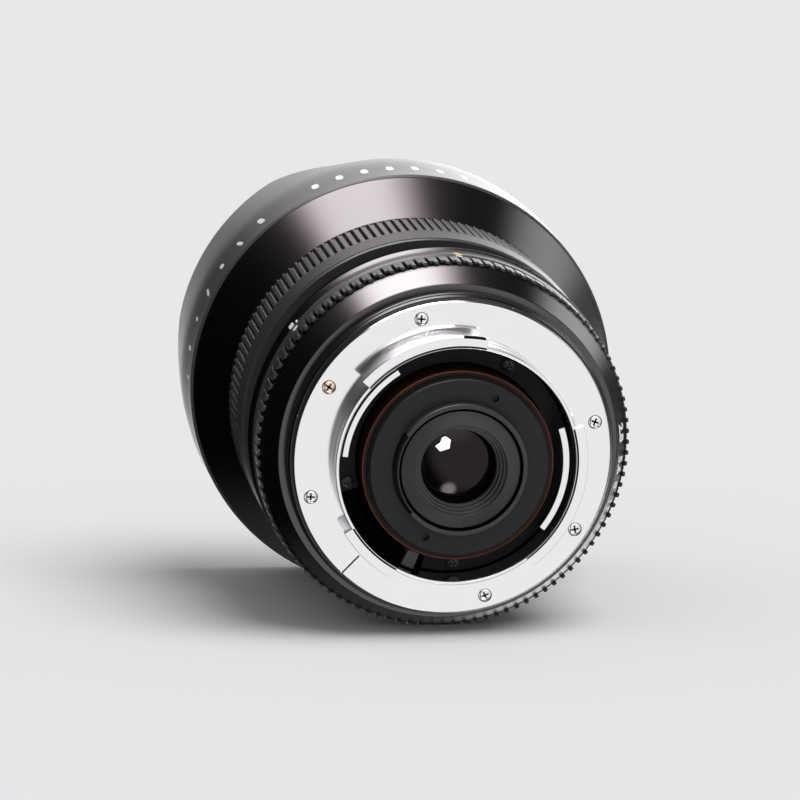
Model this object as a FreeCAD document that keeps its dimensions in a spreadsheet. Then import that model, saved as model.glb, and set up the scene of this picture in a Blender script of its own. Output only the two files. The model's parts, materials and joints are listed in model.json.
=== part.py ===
import FreeCAD, Part
import Sketcher
import math
import os

# Wide-angle prime lens for a bayonet-mount camera, lying on its side.
# Origin: centre of the mount flange's rear face. +Y runs forward along the optical axis, +Z is up.
# Clock angles are seen from behind the lens: 0 is right (+X), 90 is up (+Z). Millimetres and degrees.

doc = FreeCAD.newDocument("WideAnglePrime")
sheet = doc.addObject("Spreadsheet::Sheet", "Sizes")
Vector = FreeCAD.Vector
Rotation = FreeCAD.Rotation
FORWARD = Rotation(Vector(1, 0, 0), -90)


class Size:
    """A length with its number and the spreadsheet formula that gives it."""

    def __init__(self, value, text):
        self.value = value
        self.text = text

    def combine(self, other, sign, value):
        return Size(value, "(" + self.text + " " + sign + " " + other.text + ")")

    def __add__(self, other):
        other = plain(other)
        return self.combine(other, "+", self.value + other.value)

    def __radd__(self, other):
        return plain(other) + self

    def __sub__(self, other):
        other = plain(other)
        return self.combine(other, "-", self.value - other.value)

    def __rsub__(self, other):
        return plain(other) - self

    def __mul__(self, other):
        other = plain(other)
        return self.combine(other, "*", self.value * other.value)

    def __rmul__(self, other):
        return plain(other) * self

    def __truediv__(self, other):
        other = plain(other)
        return self.combine(other, "/", self.value / other.value)

    def __neg__(self):
        return plain(0) - self


def plain(number):
    """A bare number as a Size."""
    if isinstance(number, Size):
        return number
    return Size(float(number), "{:.6f}".format(number))


def root(size):
    """Square root of a Size."""
    return Size(math.sqrt(size.value), "sqrt(" + size.text + ")")


ROW = [1]


def size(alias, value):
    """A driving dimension: one row of the spreadsheet."""
    cell = "B" + str(ROW[0])
    sheet.set("A" + str(ROW[0]), alias)
    sheet.set(cell, str(value))
    sheet.setAlias(cell, alias)
    ROW[0] += 1
    return Size(value, "Sizes." + alias)


# Clearances
seat = size("seatGap", 0.02)
run = size("runningGap", 0.05)
air = size("airGap", 0.3)
edge = size("edgeBreak", 0.2)

# Mount
flange_r = size("flangeRadius", 28.9)
flange_t = size("flangeThickness", 1.5)
collar_bore = size("collarBoreRadius", 21.25)
collar_r = size("collarRadius", 22.0)
collar_reach = size("collarReach", 5.1)
lug_r = size("lugRadius", 23.5)
lug_t = size("lugThickness", 1.6)
collar_groove = size("collarGrooveDepth", 0.3)
groove_w = size("collarGrooveWidth", 0.4)
screw_circle = size("mountScrewCircle", 26.5)
screw_r = size("screwShankRadius", 0.8)
screw_head_r = size("screwHeadRadius", 1.17)
screw_head_t = size("screwHeadThickness", 0.7)
screw_len = size("mountScrewLength", 5.6)
recess_w = size("screwRecessWidth", 0.34)
recess_len = size("screwRecessLength", 1.5)
lock_slot_w = size("lockSlotWidth", 0.45)
lock_slot_d = size("lockSlotDepth", 0.5)
lock_slot_r = size("lockSlotInnerRadius", 24.3)
base_r = size("mountBaseRadius", 29.9)
base_t = size("mountBaseThickness", 2.7)

# Rear housing, which the aperture ring turns on
housing_bore = size("housingRearBore", 19.0)
housing_r = size("housingRadius", 28.1)
housing_wall = size("housingWall", 2.5)
housing_plate = size("housingRearPlate", 3.4)
housing_front = size("housingFrontFace", 23.0)
housing_flange = size("housingFlange", 2.1)

# Aperture ring
ring_front = size("apertureRingFront", 20.5)
ring_rear_r = size("apertureRearRadius", 31.2)
taper_front_r = size("apertureTaperRadius", 33.55)
taper_len = size("apertureTaperLength", 3.8)
tooth_top_r = size("toothTopRadius", 34.45)
tooth_depth = size("toothDepth", 0.85)
tooth_len = size("toothLength", 5.0)
tooth_step = size("toothStepLength", 1.6)
tooth_count = size("toothCount", 104)
band_front_y = size("ringBandFront", 16.6)
shoulder_r = size("shoulderRadius", 35.15)
shoulder_round = size("shoulderRound", 0.9)
land_w = size("bearingLandWidth", 2.4)
relief_r = size("apertureReliefRadius", 30.8)
stop_turn = size("apertureTurn", 38.9)

# Fixed barrels
barrel_r = size("barrelRadius", 31.4)
barrel_bore = size("barrelBore", 29.6)
barrel_lip_r = size("barrelLipRadius", 28.3)
barrel_lip_len = size("barrelLipLength", 3.0)
barrel_front = size("barrelFrontFace", 49.3)
index_r = size("indexRingRadius", 33.4)
index_front = size("indexRingFront", 28.4)

# Focus ring and its rubber grip
focus_rear = size("focusRingRear", 28.8)
focus_front = size("focusRingFront", 46.8)
focus_rear_r = size("focusRearRadius", 35.1)
focus_band_r = size("focusBandRadius", 35.6)
grip_rear = size("gripRear", 34.1)
grip_seat_r = size("gripSeatRadius", 34.5)
grip_rear_r = size("gripRearRadius", 35.8)
grip_front_r = size("gripFrontRadius", 36.2)
rib_depth = size("ribGrooveDepth", 0.75)
rib_count = size("ribCount", 140)
rib_share = size("ribGrooveShare", 0.3)
rib_foot = size("ribFootLength", 1.3)
focus_turn = size("focusTurn", 100)
drive_r = size("driveScrewRadius", 1.2)
drive_y = size("driveScrewPlace", 38.0)
nut_wall = size("helicoidNutWall", 2.27)
nut_ring_t = size("nutRetainerThickness", 1.6)

# Front barrel and hood
cone_rear_r = size("coneRearRadius", 36.2)
cone_front_r = size("coneFrontRadius", 42.3)
cone_front = size("coneFront", 58.5)
cone_bore = size("coneBore", 34.4)
spigot_r = size("hoodSpigotRadius", 40.9)
spigot_len = size("hoodSpigotLength", 3.0)
spigot_wall = size("hoodSpigotWall", 2.0)
hood_rear_r = size("hoodRearRadius", 42.8)
hood_mid_r = size("hoodMiddleRadius", 43.1)
hood_rim_r = size("hoodRimRadius", 43.5)
hood_wall = size("hoodWall", 1.5)
petal_relief = size("petalDraft", 0.2)
hood_mid_y = size("hoodMiddlePlace", 65.0)
hood_seat_y = size("hoodCapSeatRear", 70.5)
hood_short_y = size("hoodShortPetal", 78.0)
hood_tall_y = size("hoodTallPetal", 93.0)
hood_floor_t = size("hoodFloorThickness", 1.7)
petal_low_half = size("petalLowHalfWidth", 32.3)
petal_high_half = size("petalHighHalfWidth", 39.7)
hood_screw_r = size("hoodScrewCircle", 39.6)

# Moving optical block
travel = size("focusTravel", 1.1)
cell_r = size("helicoidCellRadius", 27.2)
cell_wall = size("helicoidCellWall", 2.6)
cell_rear = size("helicoidCellRear", 24.0)
cell_front = size("helicoidCellFront", 50.0)
web_t = size("cellWebThickness", 2.8)
front_cell_r = size("frontCellRadius", 33.2)
front_cell_front = size("frontCellFront", 64.6)
front_hub_r = size("frontCellHubRadius", 18.5)
front_hub_rear = size("frontCellHubRear", 46.4)
rear_cell_r = size("rearCellRadius", 16.4)
rear_cell_rear = size("rearCellRear", 5.0)
rear_flange_r = size("rearCellFlangeRadius", 20.0)
rear_flange_t = size("rearCellFlangeThickness", 1.6)
rear_disc_r = size("rearDiscRadius", 16.1)
rear_disc_t = size("rearDiscThickness", 1.0)
rear_ring_r = size("rearRingRadius", 12.0)
rear_ring_reach = size("rearRingReach", 2.9)
rear_window = size("rearWindowRadius", 6.8)
rear_mouth = size("rearMouthRadius", 8.2)
span_hole_r = size("spannerHoleRadius", 0.55)
span_circle = size("spannerHoleCircle", 13.9)
brass_wall = size("brassRingWall", 0.9)
key_w = size("guideKeyWidth", 3.0)
key_depth = size("guideKeyDepth", 0.9)

# Iris
pivot_r = size("bladePivotCircle", 15.4)
blade_open_r = size("irisOpenRadius", 5.2)
blade_small_r = size("irisSmallRadius", 0.95)
blade_w = size("bladeWidth", 4.6)
blade_t = size("bladeThickness", 0.15)
blade_pitch = size("bladeLayerPitch", 0.35)
pin_r = size("bladePinRadius", 0.45)
pin_arm = size("bladePinArm", 3.5)
iris_floor = size("irisFloorThickness", 1.0)
iris_rim_r = size("irisRimRadius", 20.2)
iris_rim_wall = size("irisRimWall", 1.3)
iris_depth = size("irisDepth", 5.6)
iris_ring_t = size("irisRingThickness", 1.6)
lever_r = size("leverRadius", 17.9)
lever_t = size("leverThickness", 0.8)
lever_w = size("leverWidthDegrees", 6.5)
lever_reach = size("leverReach", 2.4)
lever_foot_r = size("leverFootRadius", 20.9)

# Recess inside the mount
plate_t = size("recessPlateThickness", 0.8)
plate_y = size("recessPlatePlace", 0.6)
plate_bore = size("recessPlateBore", 17.7)
plate_r = size("recessPlateRadius", 21.0)
plate_screw_circle = size("recessScrewCircle", 19.5)
boss_r = size("recessBossRadius", 1.4)
long_strip_in = size("longStripInner", 19.0)
long_strip_w = size("longStripWidth", 1.15)
short_strip_in = size("shortStripInner", 19.9)
short_strip_w = size("shortStripWidth", 1.0)
strip_reach = size("guardStripReach", 4.8)
ball_r = size("detentBallRadius", 1.25)
leaf_t = size("detentLeafThickness", 0.35)
detent_count = size("detentCount", 7)

# Glass: rims, vertices and radii of curvature
glass_one_r = size("frontElementRadius", 29.0)
glass_two_r = size("secondElementRadius", 20.5)
glass_three_r = size("thirdElementRadius", 14.5)
glass_four_r = size("frontDoubletRadius", 11.0)
glass_six_r = size("irisElementRadius", 9.0)
glass_rear_r = size("rearGroupRadius", 9.6)
glass_last_r = size("rearElementRadius", 8.8)
glass_one_front = size("frontVertex", 73.5)
glass_one_curve = size("frontCurve", 44.0)
glass_one_seat = size("frontElementSeat", 57.0)
glass_two_front = size("secondVertex", 63.0)
glass_two_curve = size("secondCurve", 30.0)
glass_two_seat = size("secondElementSeat", 51.5)
glass_three_front = size("thirdVertex", 54.3)
glass_three_curve = size("thirdCurve", 26.0)
glass_three_seat = size("thirdElementSeat", 47.0)

# Clock angles, degrees
MOUNT_SCREWS = (15, 105, 150, 195, 285, 330)
LUGS = ((-52.5, 18), (211.5, 241), (79, 139))
LOCK_SLOT = 227
LEVER = 247
LONG_STRIP = (-36.5, 20.5)
SHORT_STRIP = (123.5, 175)
PLATE_SCREWS = (62, 192.5, 272)
PLATE_GAP = (197, 256)
SPANNER_HOLES = (65, 246)
TALL_PETALS = 147
HOOD_SCREWS = (27, 117, 207, 297)
DRIVE_SCREWS = (50, 230)
GUIDE_KEYS = (0, 180)
CELL_SCREWS = (40, 160, 280)
DETENT = 60
BLADE_STEP = 60
PETAL_FILLET = 5.0
OVER = 0.5


def number(piece, setting, length):
    """Bind one setting of a feature to the sheet."""
    piece.setExpression(setting, length.text)


def made(kind, label):
    piece = doc.addObject(kind, label)
    piece.Label = label
    return piece


def place(piece, point, rotation):
    """Put a feature at a point given as three Sizes or numbers, turned by rotation."""
    spots = [plain(value) for value in point]
    piece.Placement = FreeCAD.Placement(Vector(*[spot.value for spot in spots]), rotation)
    for axis, spot in zip("xyz", spots):
        piece.setExpression("Placement.Base." + axis, spot.text)


def clock(radius, degrees, y):
    """Point at a clock angle on a circle round the optical axis."""
    turn = math.radians(degrees)
    return (plain(radius) * math.cos(turn), y, plain(radius) * math.sin(turn))


def turned(label, points):
    """A piece turned on the lathe: its half section as (radius, y) corners."""
    body = made("PartDesign::Body", label)
    sketch = body.newObject("Sketcher::SketchObject", label + "_section")
    plane = [f for f in body.Origin.OriginFeatures if f.Role == "XY_Plane"][0]
    sketch.AttachmentSupport = [(plane, "")]
    sketch.MapMode = "FlatFace"
    corners = [(plain(r), plain(y)) for r, y in points]
    spots = [Vector(r.value, y.value, 0) for r, y in corners]
    count = len(spots)
    for i in range(count):
        sketch.addGeometry(Part.LineSegment(spots[i], spots[(i + 1) % count]), False)
    for i in range(count):
        sketch.addConstraint(Sketcher.Constraint("Coincident", i, 2, (i + 1) % count, 1))
    for i, (r, y) in enumerate(corners):
        for kind, length in (("DistanceX", r), ("DistanceY", y)):
            index = sketch.addConstraint(Sketcher.Constraint(kind, -1, 1, i, 1, length.value))
            sketch.setExpression("Constraints[" + str(index) + "]", length.text)
    turning = body.newObject("PartDesign::Revolution", label + "_turning")
    turning.Profile = sketch
    turning.ReferenceAxis = (sketch, ["V_Axis"])
    turning.Angle = 360
    sketch.Visibility = False
    return body


def rod(label, radius, point, length, direction):
    """A round bar from a point along a direction."""
    bar = made("Part::Cylinder", label)
    number(bar, "Radius", plain(radius))
    number(bar, "Height", plain(length))
    place(bar, point, Rotation(Vector(0, 0, 1), Vector(*direction)))
    return bar


def cone(label, low, high, point, length, direction):
    """A round bar whose radius goes from low to high."""
    bar = made("Part::Cone", label)
    number(bar, "Radius1", plain(low))
    number(bar, "Radius2", plain(high))
    number(bar, "Height", plain(length))
    place(bar, point, Rotation(Vector(0, 0, 1), Vector(*direction)))
    return bar


def sector(label, inner, outer, y, length, low, high):
    """Part of a ring between two clock angles, from y forward."""
    spin = Rotation(Vector(0, 1, 0), -high).multiply(FORWARD)
    wedge = made("Part::Cylinder", label + "_wedge")
    number(wedge, "Radius", plain(outer))
    number(wedge, "Height", plain(length))
    wedge.Angle = high - low
    place(wedge, (0, y, 0), spin)
    hole = made("Part::Cylinder", label + "_hole")
    number(hole, "Radius", plain(inner))
    number(hole, "Height", plain(length) + 2 * OVER)
    place(hole, (0, plain(y) - OVER, 0), FORWARD)
    return cut(label, wedge, [hole])


def block(label, near, far, half, y, length, degrees):
    """A bar lying along a clock angle from radius near to far, half wide to each side."""
    bar = made("Part::Box", label)
    number(bar, "Length", plain(far) - near)
    number(bar, "Width", plain(length))
    number(bar, "Height", plain(half) * 2)
    turn = math.radians(degrees)
    across = (-math.sin(turn), math.cos(turn))
    x = plain(near) * math.cos(turn) - plain(half) * across[0]
    z = plain(near) * math.sin(turn) - plain(half) * across[1]
    place(bar, (x, y, z), Rotation(Vector(0, 1, 0), -degrees))
    return bar


def cut(label, base, tools):
    """A piece with other shapes taken out of it."""
    result = made("Part::Cut", label)
    result.Base = base
    result.Tool = tools[0] if len(tools) == 1 else joined(label + "_tools", tools)
    return result


def joined(label, pieces):
    result = made("Part::MultiFuse", label)
    result.Shapes = pieces
    return result


def common(label, first, second):
    result = made("Part::Common", label)
    result.Base = first
    result.Tool = second
    return result


def group(label, pieces):
    """Separate solids kept together in one node."""
    result = made("Part::Compound", label)
    result.Links = pieces
    return result


def solid(label, shape):
    """A feature whose shape is worked out point by point."""
    piece = made("Part::Feature", label)
    piece.Shape = shape
    return piece


def ball(label, radius, y):
    """A sphere centred on the optical axis."""
    sphere = made("Part::Sphere", label)
    number(sphere, "Radius", plain(radius))
    place(sphere, (0, y, 0), Rotation())
    return sphere


def glass(label, radius, front, back):
    """A lens element: each face is (shape, vertex, curve) and, where hollow or flat, its rim's y."""
    shape, vertex, curve = front[:3]
    top = plain(vertex) + OVER if shape == "convex" else plain(front[3])
    shape_back, vertex_back, curve_back = back[:3]
    low = plain(vertex_back) - OVER if shape_back == "convex" else plain(back[3])
    piece = rod(label + "_blank", radius, (0, low, 0), top - low, (0, 1, 0))
    faces = ((shape, vertex, curve, -1, "front"), (shape_back, vertex_back, curve_back, 1, "back"))
    for kind, peak, bend, side, name in faces:
        if kind == "flat":
            continue
        away = side if kind == "convex" else -side
        tool = ball(label + "_" + name + "_ball", bend, plain(peak) + plain(bend) * away)
        step = label + "_" + name + "_ground"
        piece = common(step, piece, tool) if kind == "convex" else cut(step, piece, [tool])
    piece.Label = label
    return piece


def cross_screw(label, point, direction, head_r, head_t, shank_r, length, angle, sunk):
    """A cross-recess screw: head at the point, shank along the direction."""
    way = Vector(*direction)
    if sunk:
        head = cone(label + "_head", head_r, shank_r, point, head_t, direction)
    else:
        head = rod(label + "_head", head_r, point, head_t, direction)
    shank = rod(label + "_shank", shank_r, point, length, direction)
    body = joined(label + "_body", [head, shank])
    bars = []
    for turn in (angle, angle + 90):
        bar = made("Part::Box", label + "_bar" + str(int(turn)))
        number(bar, "Length", recess_len)
        number(bar, "Width", recess_w)
        number(bar, "Height", recess_w * 2)
        spin = Rotation(Vector(0, 0, 1), way).multiply(Rotation(Vector(0, 0, 1), turn))
        corner = spin.multVec(Vector(-0.5, 0, 0))
        side = spin.multVec(Vector(0, -0.5, 0))
        spots = []
        for axis in range(3):
            spots.append(plain(point[axis]) + recess_len * corner[axis] + recess_w * side[axis]
                         - recess_w * way[axis])
        place(bar, spots, spin)
        bars.append(bar)
    return cut(label, body, bars)


def prism(outline, y, length):
    """A solid pushed forward from a closed outline of (x, z) corners."""
    points = [Vector(x, y, z) for x, z in outline]
    face = Part.Face(Part.makePolygon(points + points[:1]))
    return face.extrude(Vector(0, length, 0))


def polar(radius, degrees):
    turn = math.radians(degrees)
    return radius * math.cos(turn), radius * math.sin(turn)


# The mount: a plated bayonet flange, the base ring behind it and their screws
base_front = flange_t + base_t


def mount_flange():
    rim = -collar_reach
    first = lug_t - collar_reach - groove_w * 1.5
    second = lug_t - collar_reach + edge / 2
    low = collar_r - collar_groove
    section = [(collar_bore, rim + edge), (collar_bore + edge, rim), (collar_r - edge / 2, rim),
               (collar_r, rim + edge / 2), (collar_r, first - groove_w), (low, first - groove_w),
               (low, first), (collar_r, first), (collar_r, second - groove_w),
               (low, second - groove_w), (low, second), (collar_r, second), (collar_r, 0),
               (flange_r - edge, 0), (flange_r, edge), (flange_r, flange_t), (collar_bore, flange_t)]
    plate = turned("flange_blank", section)
    lugs = []
    for i, (low_angle, high_angle) in enumerate(LUGS):
        lugs.append(sector("lug" + str(i), low - edge, lug_r, rim, lug_t, low_angle, high_angle))
    whole = joined("flange_with_lugs", [plate] + lugs)
    tools = [block("lock_slot", lock_slot_r, flange_r + OVER, lock_slot_w / 2, -OVER,
                   lock_slot_d + OVER, LOCK_SLOT)]
    for angle in MOUNT_SCREWS:
        name = "flange_hole" + str(angle)
        spot = clock(screw_circle, angle, plain(0))
        tools.append(cone(name + "_sink", screw_head_r + seat, screw_r + seat, spot,
                          screw_head_t + seat, (0, 1, 0)))
        tools.append(rod(name, screw_r + seat, clock(screw_circle, angle, -OVER),
                         flange_t + 2 * OVER, (0, 1, 0)))
    return cut("mount_flange", whole, tools)


def mount_base():
    section = [(collar_r + seat, flange_t), (base_r - edge, flange_t), (base_r, flange_t + edge),
               (base_r, base_front), (collar_r + seat, base_front)]
    ring = turned("base_blank", section)
    holes = [rod("base_hole" + str(a), screw_r + seat, clock(screw_circle, a, flange_t - OVER),
                 base_t + 2 * OVER, (0, 1, 0)) for a in MOUNT_SCREWS]
    return cut("mount_base", ring, holes)


def mount_screws():
    screws = []
    for angle in MOUNT_SCREWS:
        spot = clock(screw_circle, angle, seat)
        screws.append(cross_screw("mount_screw" + str(angle), spot, (0, 1, 0), screw_head_r,
                                  screw_head_t, screw_r, screw_len, angle + 20, True))
    return group("mount_screws", screws)


# The rear housing carries the aperture ring and bears the mount
plate_front = plate_y + plate_t
housing_in = housing_r - housing_wall
link_y = size("apertureLinkPlace", 11.0)
link_t = size("apertureLinkThickness", 1.5)
link_half = size("apertureLinkHalfWidth", 3.2)
detent_y = ring_front - land_w / 2


def rear_housing():
    step = base_front + housing_plate
    neck = housing_front - housing_flange
    section = [(housing_bore, base_front), (housing_r, base_front), (housing_r, neck),
               (barrel_r, neck), (barrel_r, housing_front), (housing_in, housing_front),
               (housing_in, step), (housing_bore, step)]
    tube = turned("housing_blank", section)
    bosses = [rod("boss" + str(int(a)), boss_r, clock(plate_screw_circle, a, plate_front),
                  base_front - plate_front + OVER, (0, 1, 0)) for a in PLATE_SCREWS]
    whole = joined("housing_with_bosses", [tube] + bosses)
    depth = screw_len - flange_t - base_t + OVER
    tools = [rod("housing_hole" + str(a), screw_r + seat, clock(screw_circle, a, base_front - OVER),
                 depth + OVER, (0, 1, 0)) for a in MOUNT_SCREWS]
    for angle in PLATE_SCREWS:
        tools.append(rod("boss_hole" + str(int(angle)), screw_r + seat,
                         clock(plate_screw_circle, angle, plate_front - OVER), base_front, (0, 1, 0)))
    reach = math.degrees(link_half.value / housing_in.value) + 2
    tools.append(sector("link_slot", housing_in - OVER, housing_r + OVER, link_y - air,
                        link_t + 2 * air, LEVER - stop_turn.value - reach, LEVER + reach))
    x, z = math.cos(math.radians(DETENT)), math.sin(math.radians(DETENT))
    tools.append(rod("detent_hole", ball_r + seat, clock(housing_in - OVER, DETENT, detent_y),
                     housing_wall + 2 * OVER, (x, 0, z)))
    return cut("rear_housing", whole, tools)


def detent_ball():
    sphere = made("Part::Sphere", "detent_ball")
    number(sphere, "Radius", ball_r)
    place(sphere, clock(housing_r - ball_r, DETENT, detent_y), Rotation())
    return sphere


def detent_spring():
    return sector("detent_spring", housing_in - leaf_t, housing_in - seat / 2, detent_y - ball_r * 0.8,
                  ball_r * 1.6, DETENT - 20, DETENT + 20)


# The recess behind the rear glass: a black plate, its screws and two bright guard strips
def recess_baffle():
    plate = sector("recess_plate_blank", plate_bore, plate_r, plate_y, plate_t,
                   PLATE_GAP[1], PLATE_GAP[0] + 360)
    holes = [rod("plate_hole" + str(int(a)), screw_r + seat,
                 clock(plate_screw_circle, a, plate_y - OVER), plate_t + 2 * OVER, (0, 1, 0))
             for a in PLATE_SCREWS]
    return cut("recess_baffle", plate, holes)


def baffle_screws():
    screws = []
    for angle in PLATE_SCREWS:
        spot = clock(plate_screw_circle, angle, plate_y - screw_head_t)
        screws.append(cross_screw("plate_screw" + str(int(angle)), spot, (0, 1, 0), screw_head_r,
                                  screw_head_t, screw_r, base_front - plate_y + screw_head_t,
                                  angle + 35, False))
    return group("baffle_screws", screws)


def guard_strip(label, inner, width, span):
    return sector(label, inner, inner + width, -strip_reach, plate_y + strip_reach,
                  span[0], span[1])


# The aperture ring with its two rows of teeth, and the link that turns the iris
ring_rear = base_front + air
taper_end = ring_rear + taper_len
tooth_rear = taper_end + edge * 2
tooth_front = tooth_rear + tooth_len
ring_bore = housing_r + run


def aperture_ring():
    section = [(ring_bore, ring_rear), (ring_rear_r - edge, ring_rear), (ring_rear_r, ring_rear + edge),
               (taper_front_r, taper_end), (taper_front_r, tooth_rear - edge),
               (tooth_top_r - edge, tooth_rear), (tooth_top_r, tooth_rear + edge),
               (tooth_top_r, tooth_front), (tooth_top_r + edge / 2, band_front_y),
               (shoulder_r - shoulder_round * 0.3, band_front_y + shoulder_round * 0.7),
               (shoulder_r, band_front_y + shoulder_round * 1.8),
               (shoulder_r, ring_front - shoulder_round * 1.6),
               (shoulder_r - shoulder_round * 0.2, ring_front - shoulder_round * 0.6),
               (shoulder_r - shoulder_round * 0.6, ring_front), (ring_bore, ring_front),
               (ring_bore, ring_front - land_w), (relief_r, ring_front - land_w - edge),
               (relief_r, ring_rear + land_w + edge), (ring_bore, ring_rear + land_w)]
    blank = turned("aperture_blank", section)
    count = int(tooth_count.value)
    pitch = 360.0 / count
    inner = tooth_top_r.value - tooth_depth.value
    outer = shoulder_r.value + OVER
    cutters = []
    for i in range(count):
        start = i * pitch
        narrow = [polar(inner, start), polar(outer, start), polar(outer, start + pitch * 0.24),
                  polar(inner, start + pitch * 0.24)]
        wide = [polar(inner, start - pitch * 0.36), polar(outer, start - pitch * 0.36),
                polar(outer, start + pitch * 0.04), polar(inner, start + pitch * 0.04)]
        rear = taper_end.value + edge.value / 2
        cutters.append(prism(narrow, rear, tooth_front.value - rear))
        cutters.append(prism(wide, rear, tooth_rear.value + tooth_step.value - rear))
    grooves = solid("tooth_grooves", Part.makeCompound(cutters))
    notches = []
    step = stop_turn.value / (detent_count.value - 1)
    for i in range(int(detent_count.value)):
        angle = DETENT + i * step
        x, z = math.cos(math.radians(angle)), math.sin(math.radians(angle))
        notches.append(rod("notch" + str(i), ball_r / 2, clock(ring_bore - OVER, angle, detent_y),
                           OVER + air, (x, 0, z)))
    return cut("aperture_ring", blank, [grooves] + notches)


def aperture_link():
    bar = block("link_bar", lever_r - OVER, relief_r + OVER, link_half, link_y, link_t, LEVER)
    gap = sector("link_fork", lever_r - 2 * OVER, lever_r + lever_t + air, link_y - OVER,
                 link_t + 2 * OVER, LEVER - lever_w.value / 2 - 0.5, LEVER + lever_w.value / 2 + 0.5)
    fork = cut("link_forked", bar, [gap])
    rim = rod("link_rim", relief_r - seat, (0, link_y - OVER, 0), link_t + 2 * OVER, (0, 1, 0))
    return common("aperture_link", fork, rim)


# Fixed barrels
def index_ring():
    rear = ring_front + air
    section = [(barrel_r + seat, rear), (index_r - edge, rear), (index_r, rear + edge),
               (index_r, index_front - edge), (index_r - edge, index_front),
               (barrel_r + seat, index_front)]
    return turned("index_ring", section)


def main_barrel():
    lip = housing_front + barrel_lip_len
    section = [(barrel_lip_r, housing_front), (barrel_r, housing_front), (barrel_r, barrel_front),
               (barrel_bore, barrel_front), (barrel_bore, lip), (barrel_lip_r, lip)]
    tube = turned("barrel_blank", section)
    slots = []
    play = math.degrees(drive_r.value / barrel_bore.value) + 2
    for angle in DRIVE_SCREWS:
        slots.append(sector("drive_slot" + str(angle), barrel_bore - OVER, barrel_r + OVER,
                            drive_y - drive_r - air, (drive_r + air) * 2,
                            angle - focus_turn.value - play, angle + play))
    return cut("main_barrel", tube, slots)


def guide_keys():
    keys = []
    for angle in GUIDE_KEYS:
        name = "key" + str(angle)
        bar = block(name + "_bar", cell_r - key_depth, barrel_lip_r + OVER, key_w / 2,
                    housing_front + seat, barrel_lip_len - air, angle)
        bore = rod(name + "_bore", barrel_lip_r - seat, (0, housing_front, 0), barrel_lip_len, (0, 1, 0))
        keys.append(common(name, bar, bore))
    return group("guide_keys", keys)


def nut_retainer():
    rear = focus_front + air
    section = [(cell_r + air * 3, rear), (barrel_bore - seat, rear),
               (barrel_bore - seat, rear + nut_ring_t), (cell_r + air * 3, rear + nut_ring_t)]
    return turned("nut_retainer", section)


cone_rear = focus_front + air
spigot_front = cone_front + spigot_len


def front_barrel():
    section = [(barrel_r + seat, cone_rear), (cone_rear_r - edge, cone_rear),
               (cone_rear_r, cone_rear + edge), (cone_front_r, cone_front - edge),
               (cone_front_r, cone_front), (spigot_r, cone_front), (spigot_r, spigot_front),
               (spigot_r - spigot_wall, spigot_front), (cone_bore, barrel_front + spigot_wall),
               (cone_bore, barrel_front), (barrel_r + seat, barrel_front)]
    blank = turned("cone_blank", section)
    holes = [rod("spigot_hole" + str(a), screw_r + seat, clock(hood_screw_r, a, spigot_front - 2.5),
                 2.5 + OVER, (0, 1, 0)) for a in HOOD_SCREWS]
    return cut("front_barrel", blank, holes)


floor_rear = spigot_front + seat
floor_front = floor_rear + hood_floor_t


petal_r = hood_rim_r - petal_relief


def petal_hood():
    rear = cone_front + seat
    section = [(spigot_r + seat, rear), (hood_rear_r - edge / 2, rear), (hood_rear_r, rear + edge / 2),
               (hood_mid_r, hood_mid_y), (hood_rim_r, hood_seat_y), (hood_rim_r, hood_short_y),
               (petal_r, hood_tall_y),
               (petal_r - hood_wall, hood_tall_y), (petal_r - hood_wall, hood_seat_y),
               (hood_mid_r - hood_wall, floor_front), (cone_bore, floor_front),
               (cone_bore, floor_rear), (spigot_r + seat, floor_rear)]
    blank = turned("hood_blank", section)
    low, high = petal_low_half.value, petal_high_half.value
    bottom, top = hood_short_y.value, hood_tall_y.value
    wide = hood_rim_r.value + 2 * OVER
    slope = (high - low) / (top - bottom)
    reach = high + slope * OVER
    outline = [(-reach, top + OVER), (-low, bottom), (low, bottom), (reach, top + OVER)]
    points = [Vector(-wide, y, x) for x, y in outline]
    window = Part.Face(Part.makePolygon(points + points[:1])).extrude(Vector(2 * wide, 0, 0))
    bottoms = [e for e in window.Edges
               if abs(e.Length - 2 * wide) < 0.01 and e.BoundBox.YMax < bottom + 0.01]
    window = window.makeFillet(PETAL_FILLET, bottoms)
    window.rotate(Vector(0, 0, 0), Vector(0, 1, 0), -(TALL_PETALS - 90))
    holes = [solid("petal_windows", window)]
    for angle in HOOD_SCREWS:
        holes.append(rod("hood_hole" + str(angle), screw_r + seat,
                         clock(hood_screw_r, angle, floor_rear - OVER), hood_floor_t + 2 * OVER,
                         (0, 1, 0)))
    return cut("petal_hood", blank, holes)


def hood_screws():
    screws = []
    for angle in HOOD_SCREWS:
        spot = clock(hood_screw_r, angle, floor_front + screw_head_t)
        screws.append(cross_screw("hood_screw" + str(angle), spot, (0, -1, 0), screw_head_r,
                                  screw_head_t, screw_r, screw_head_t + hood_floor_t + 2.0,
                                  angle, False))
    return group("hood_screws", screws)


# The focus ring, its rubber grip, the drive screws and the brass helicoid nut
def focus_ring():
    section = [(barrel_r + run, focus_rear), (focus_rear_r - edge, focus_rear),
               (focus_rear_r, focus_rear + edge), (focus_band_r, grip_rear), (grip_seat_r, grip_rear),
               (grip_seat_r, focus_front), (barrel_r + run, focus_front)]
    blank = turned("focus_blank", section)
    holes = drive_holes("focus", barrel_r - OVER, grip_seat_r + OVER)
    return cut("focus_ring", blank, holes)


def drive_holes(name, near, far):
    holes = []
    for angle in DRIVE_SCREWS:
        x, z = math.cos(math.radians(angle)), math.sin(math.radians(angle))
        holes.append(rod(name + "_drive_hole" + str(angle), drive_r + seat,
                         clock(near, angle, drive_y), plain(far) - near, (x, 0, z)))
    return holes


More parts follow.
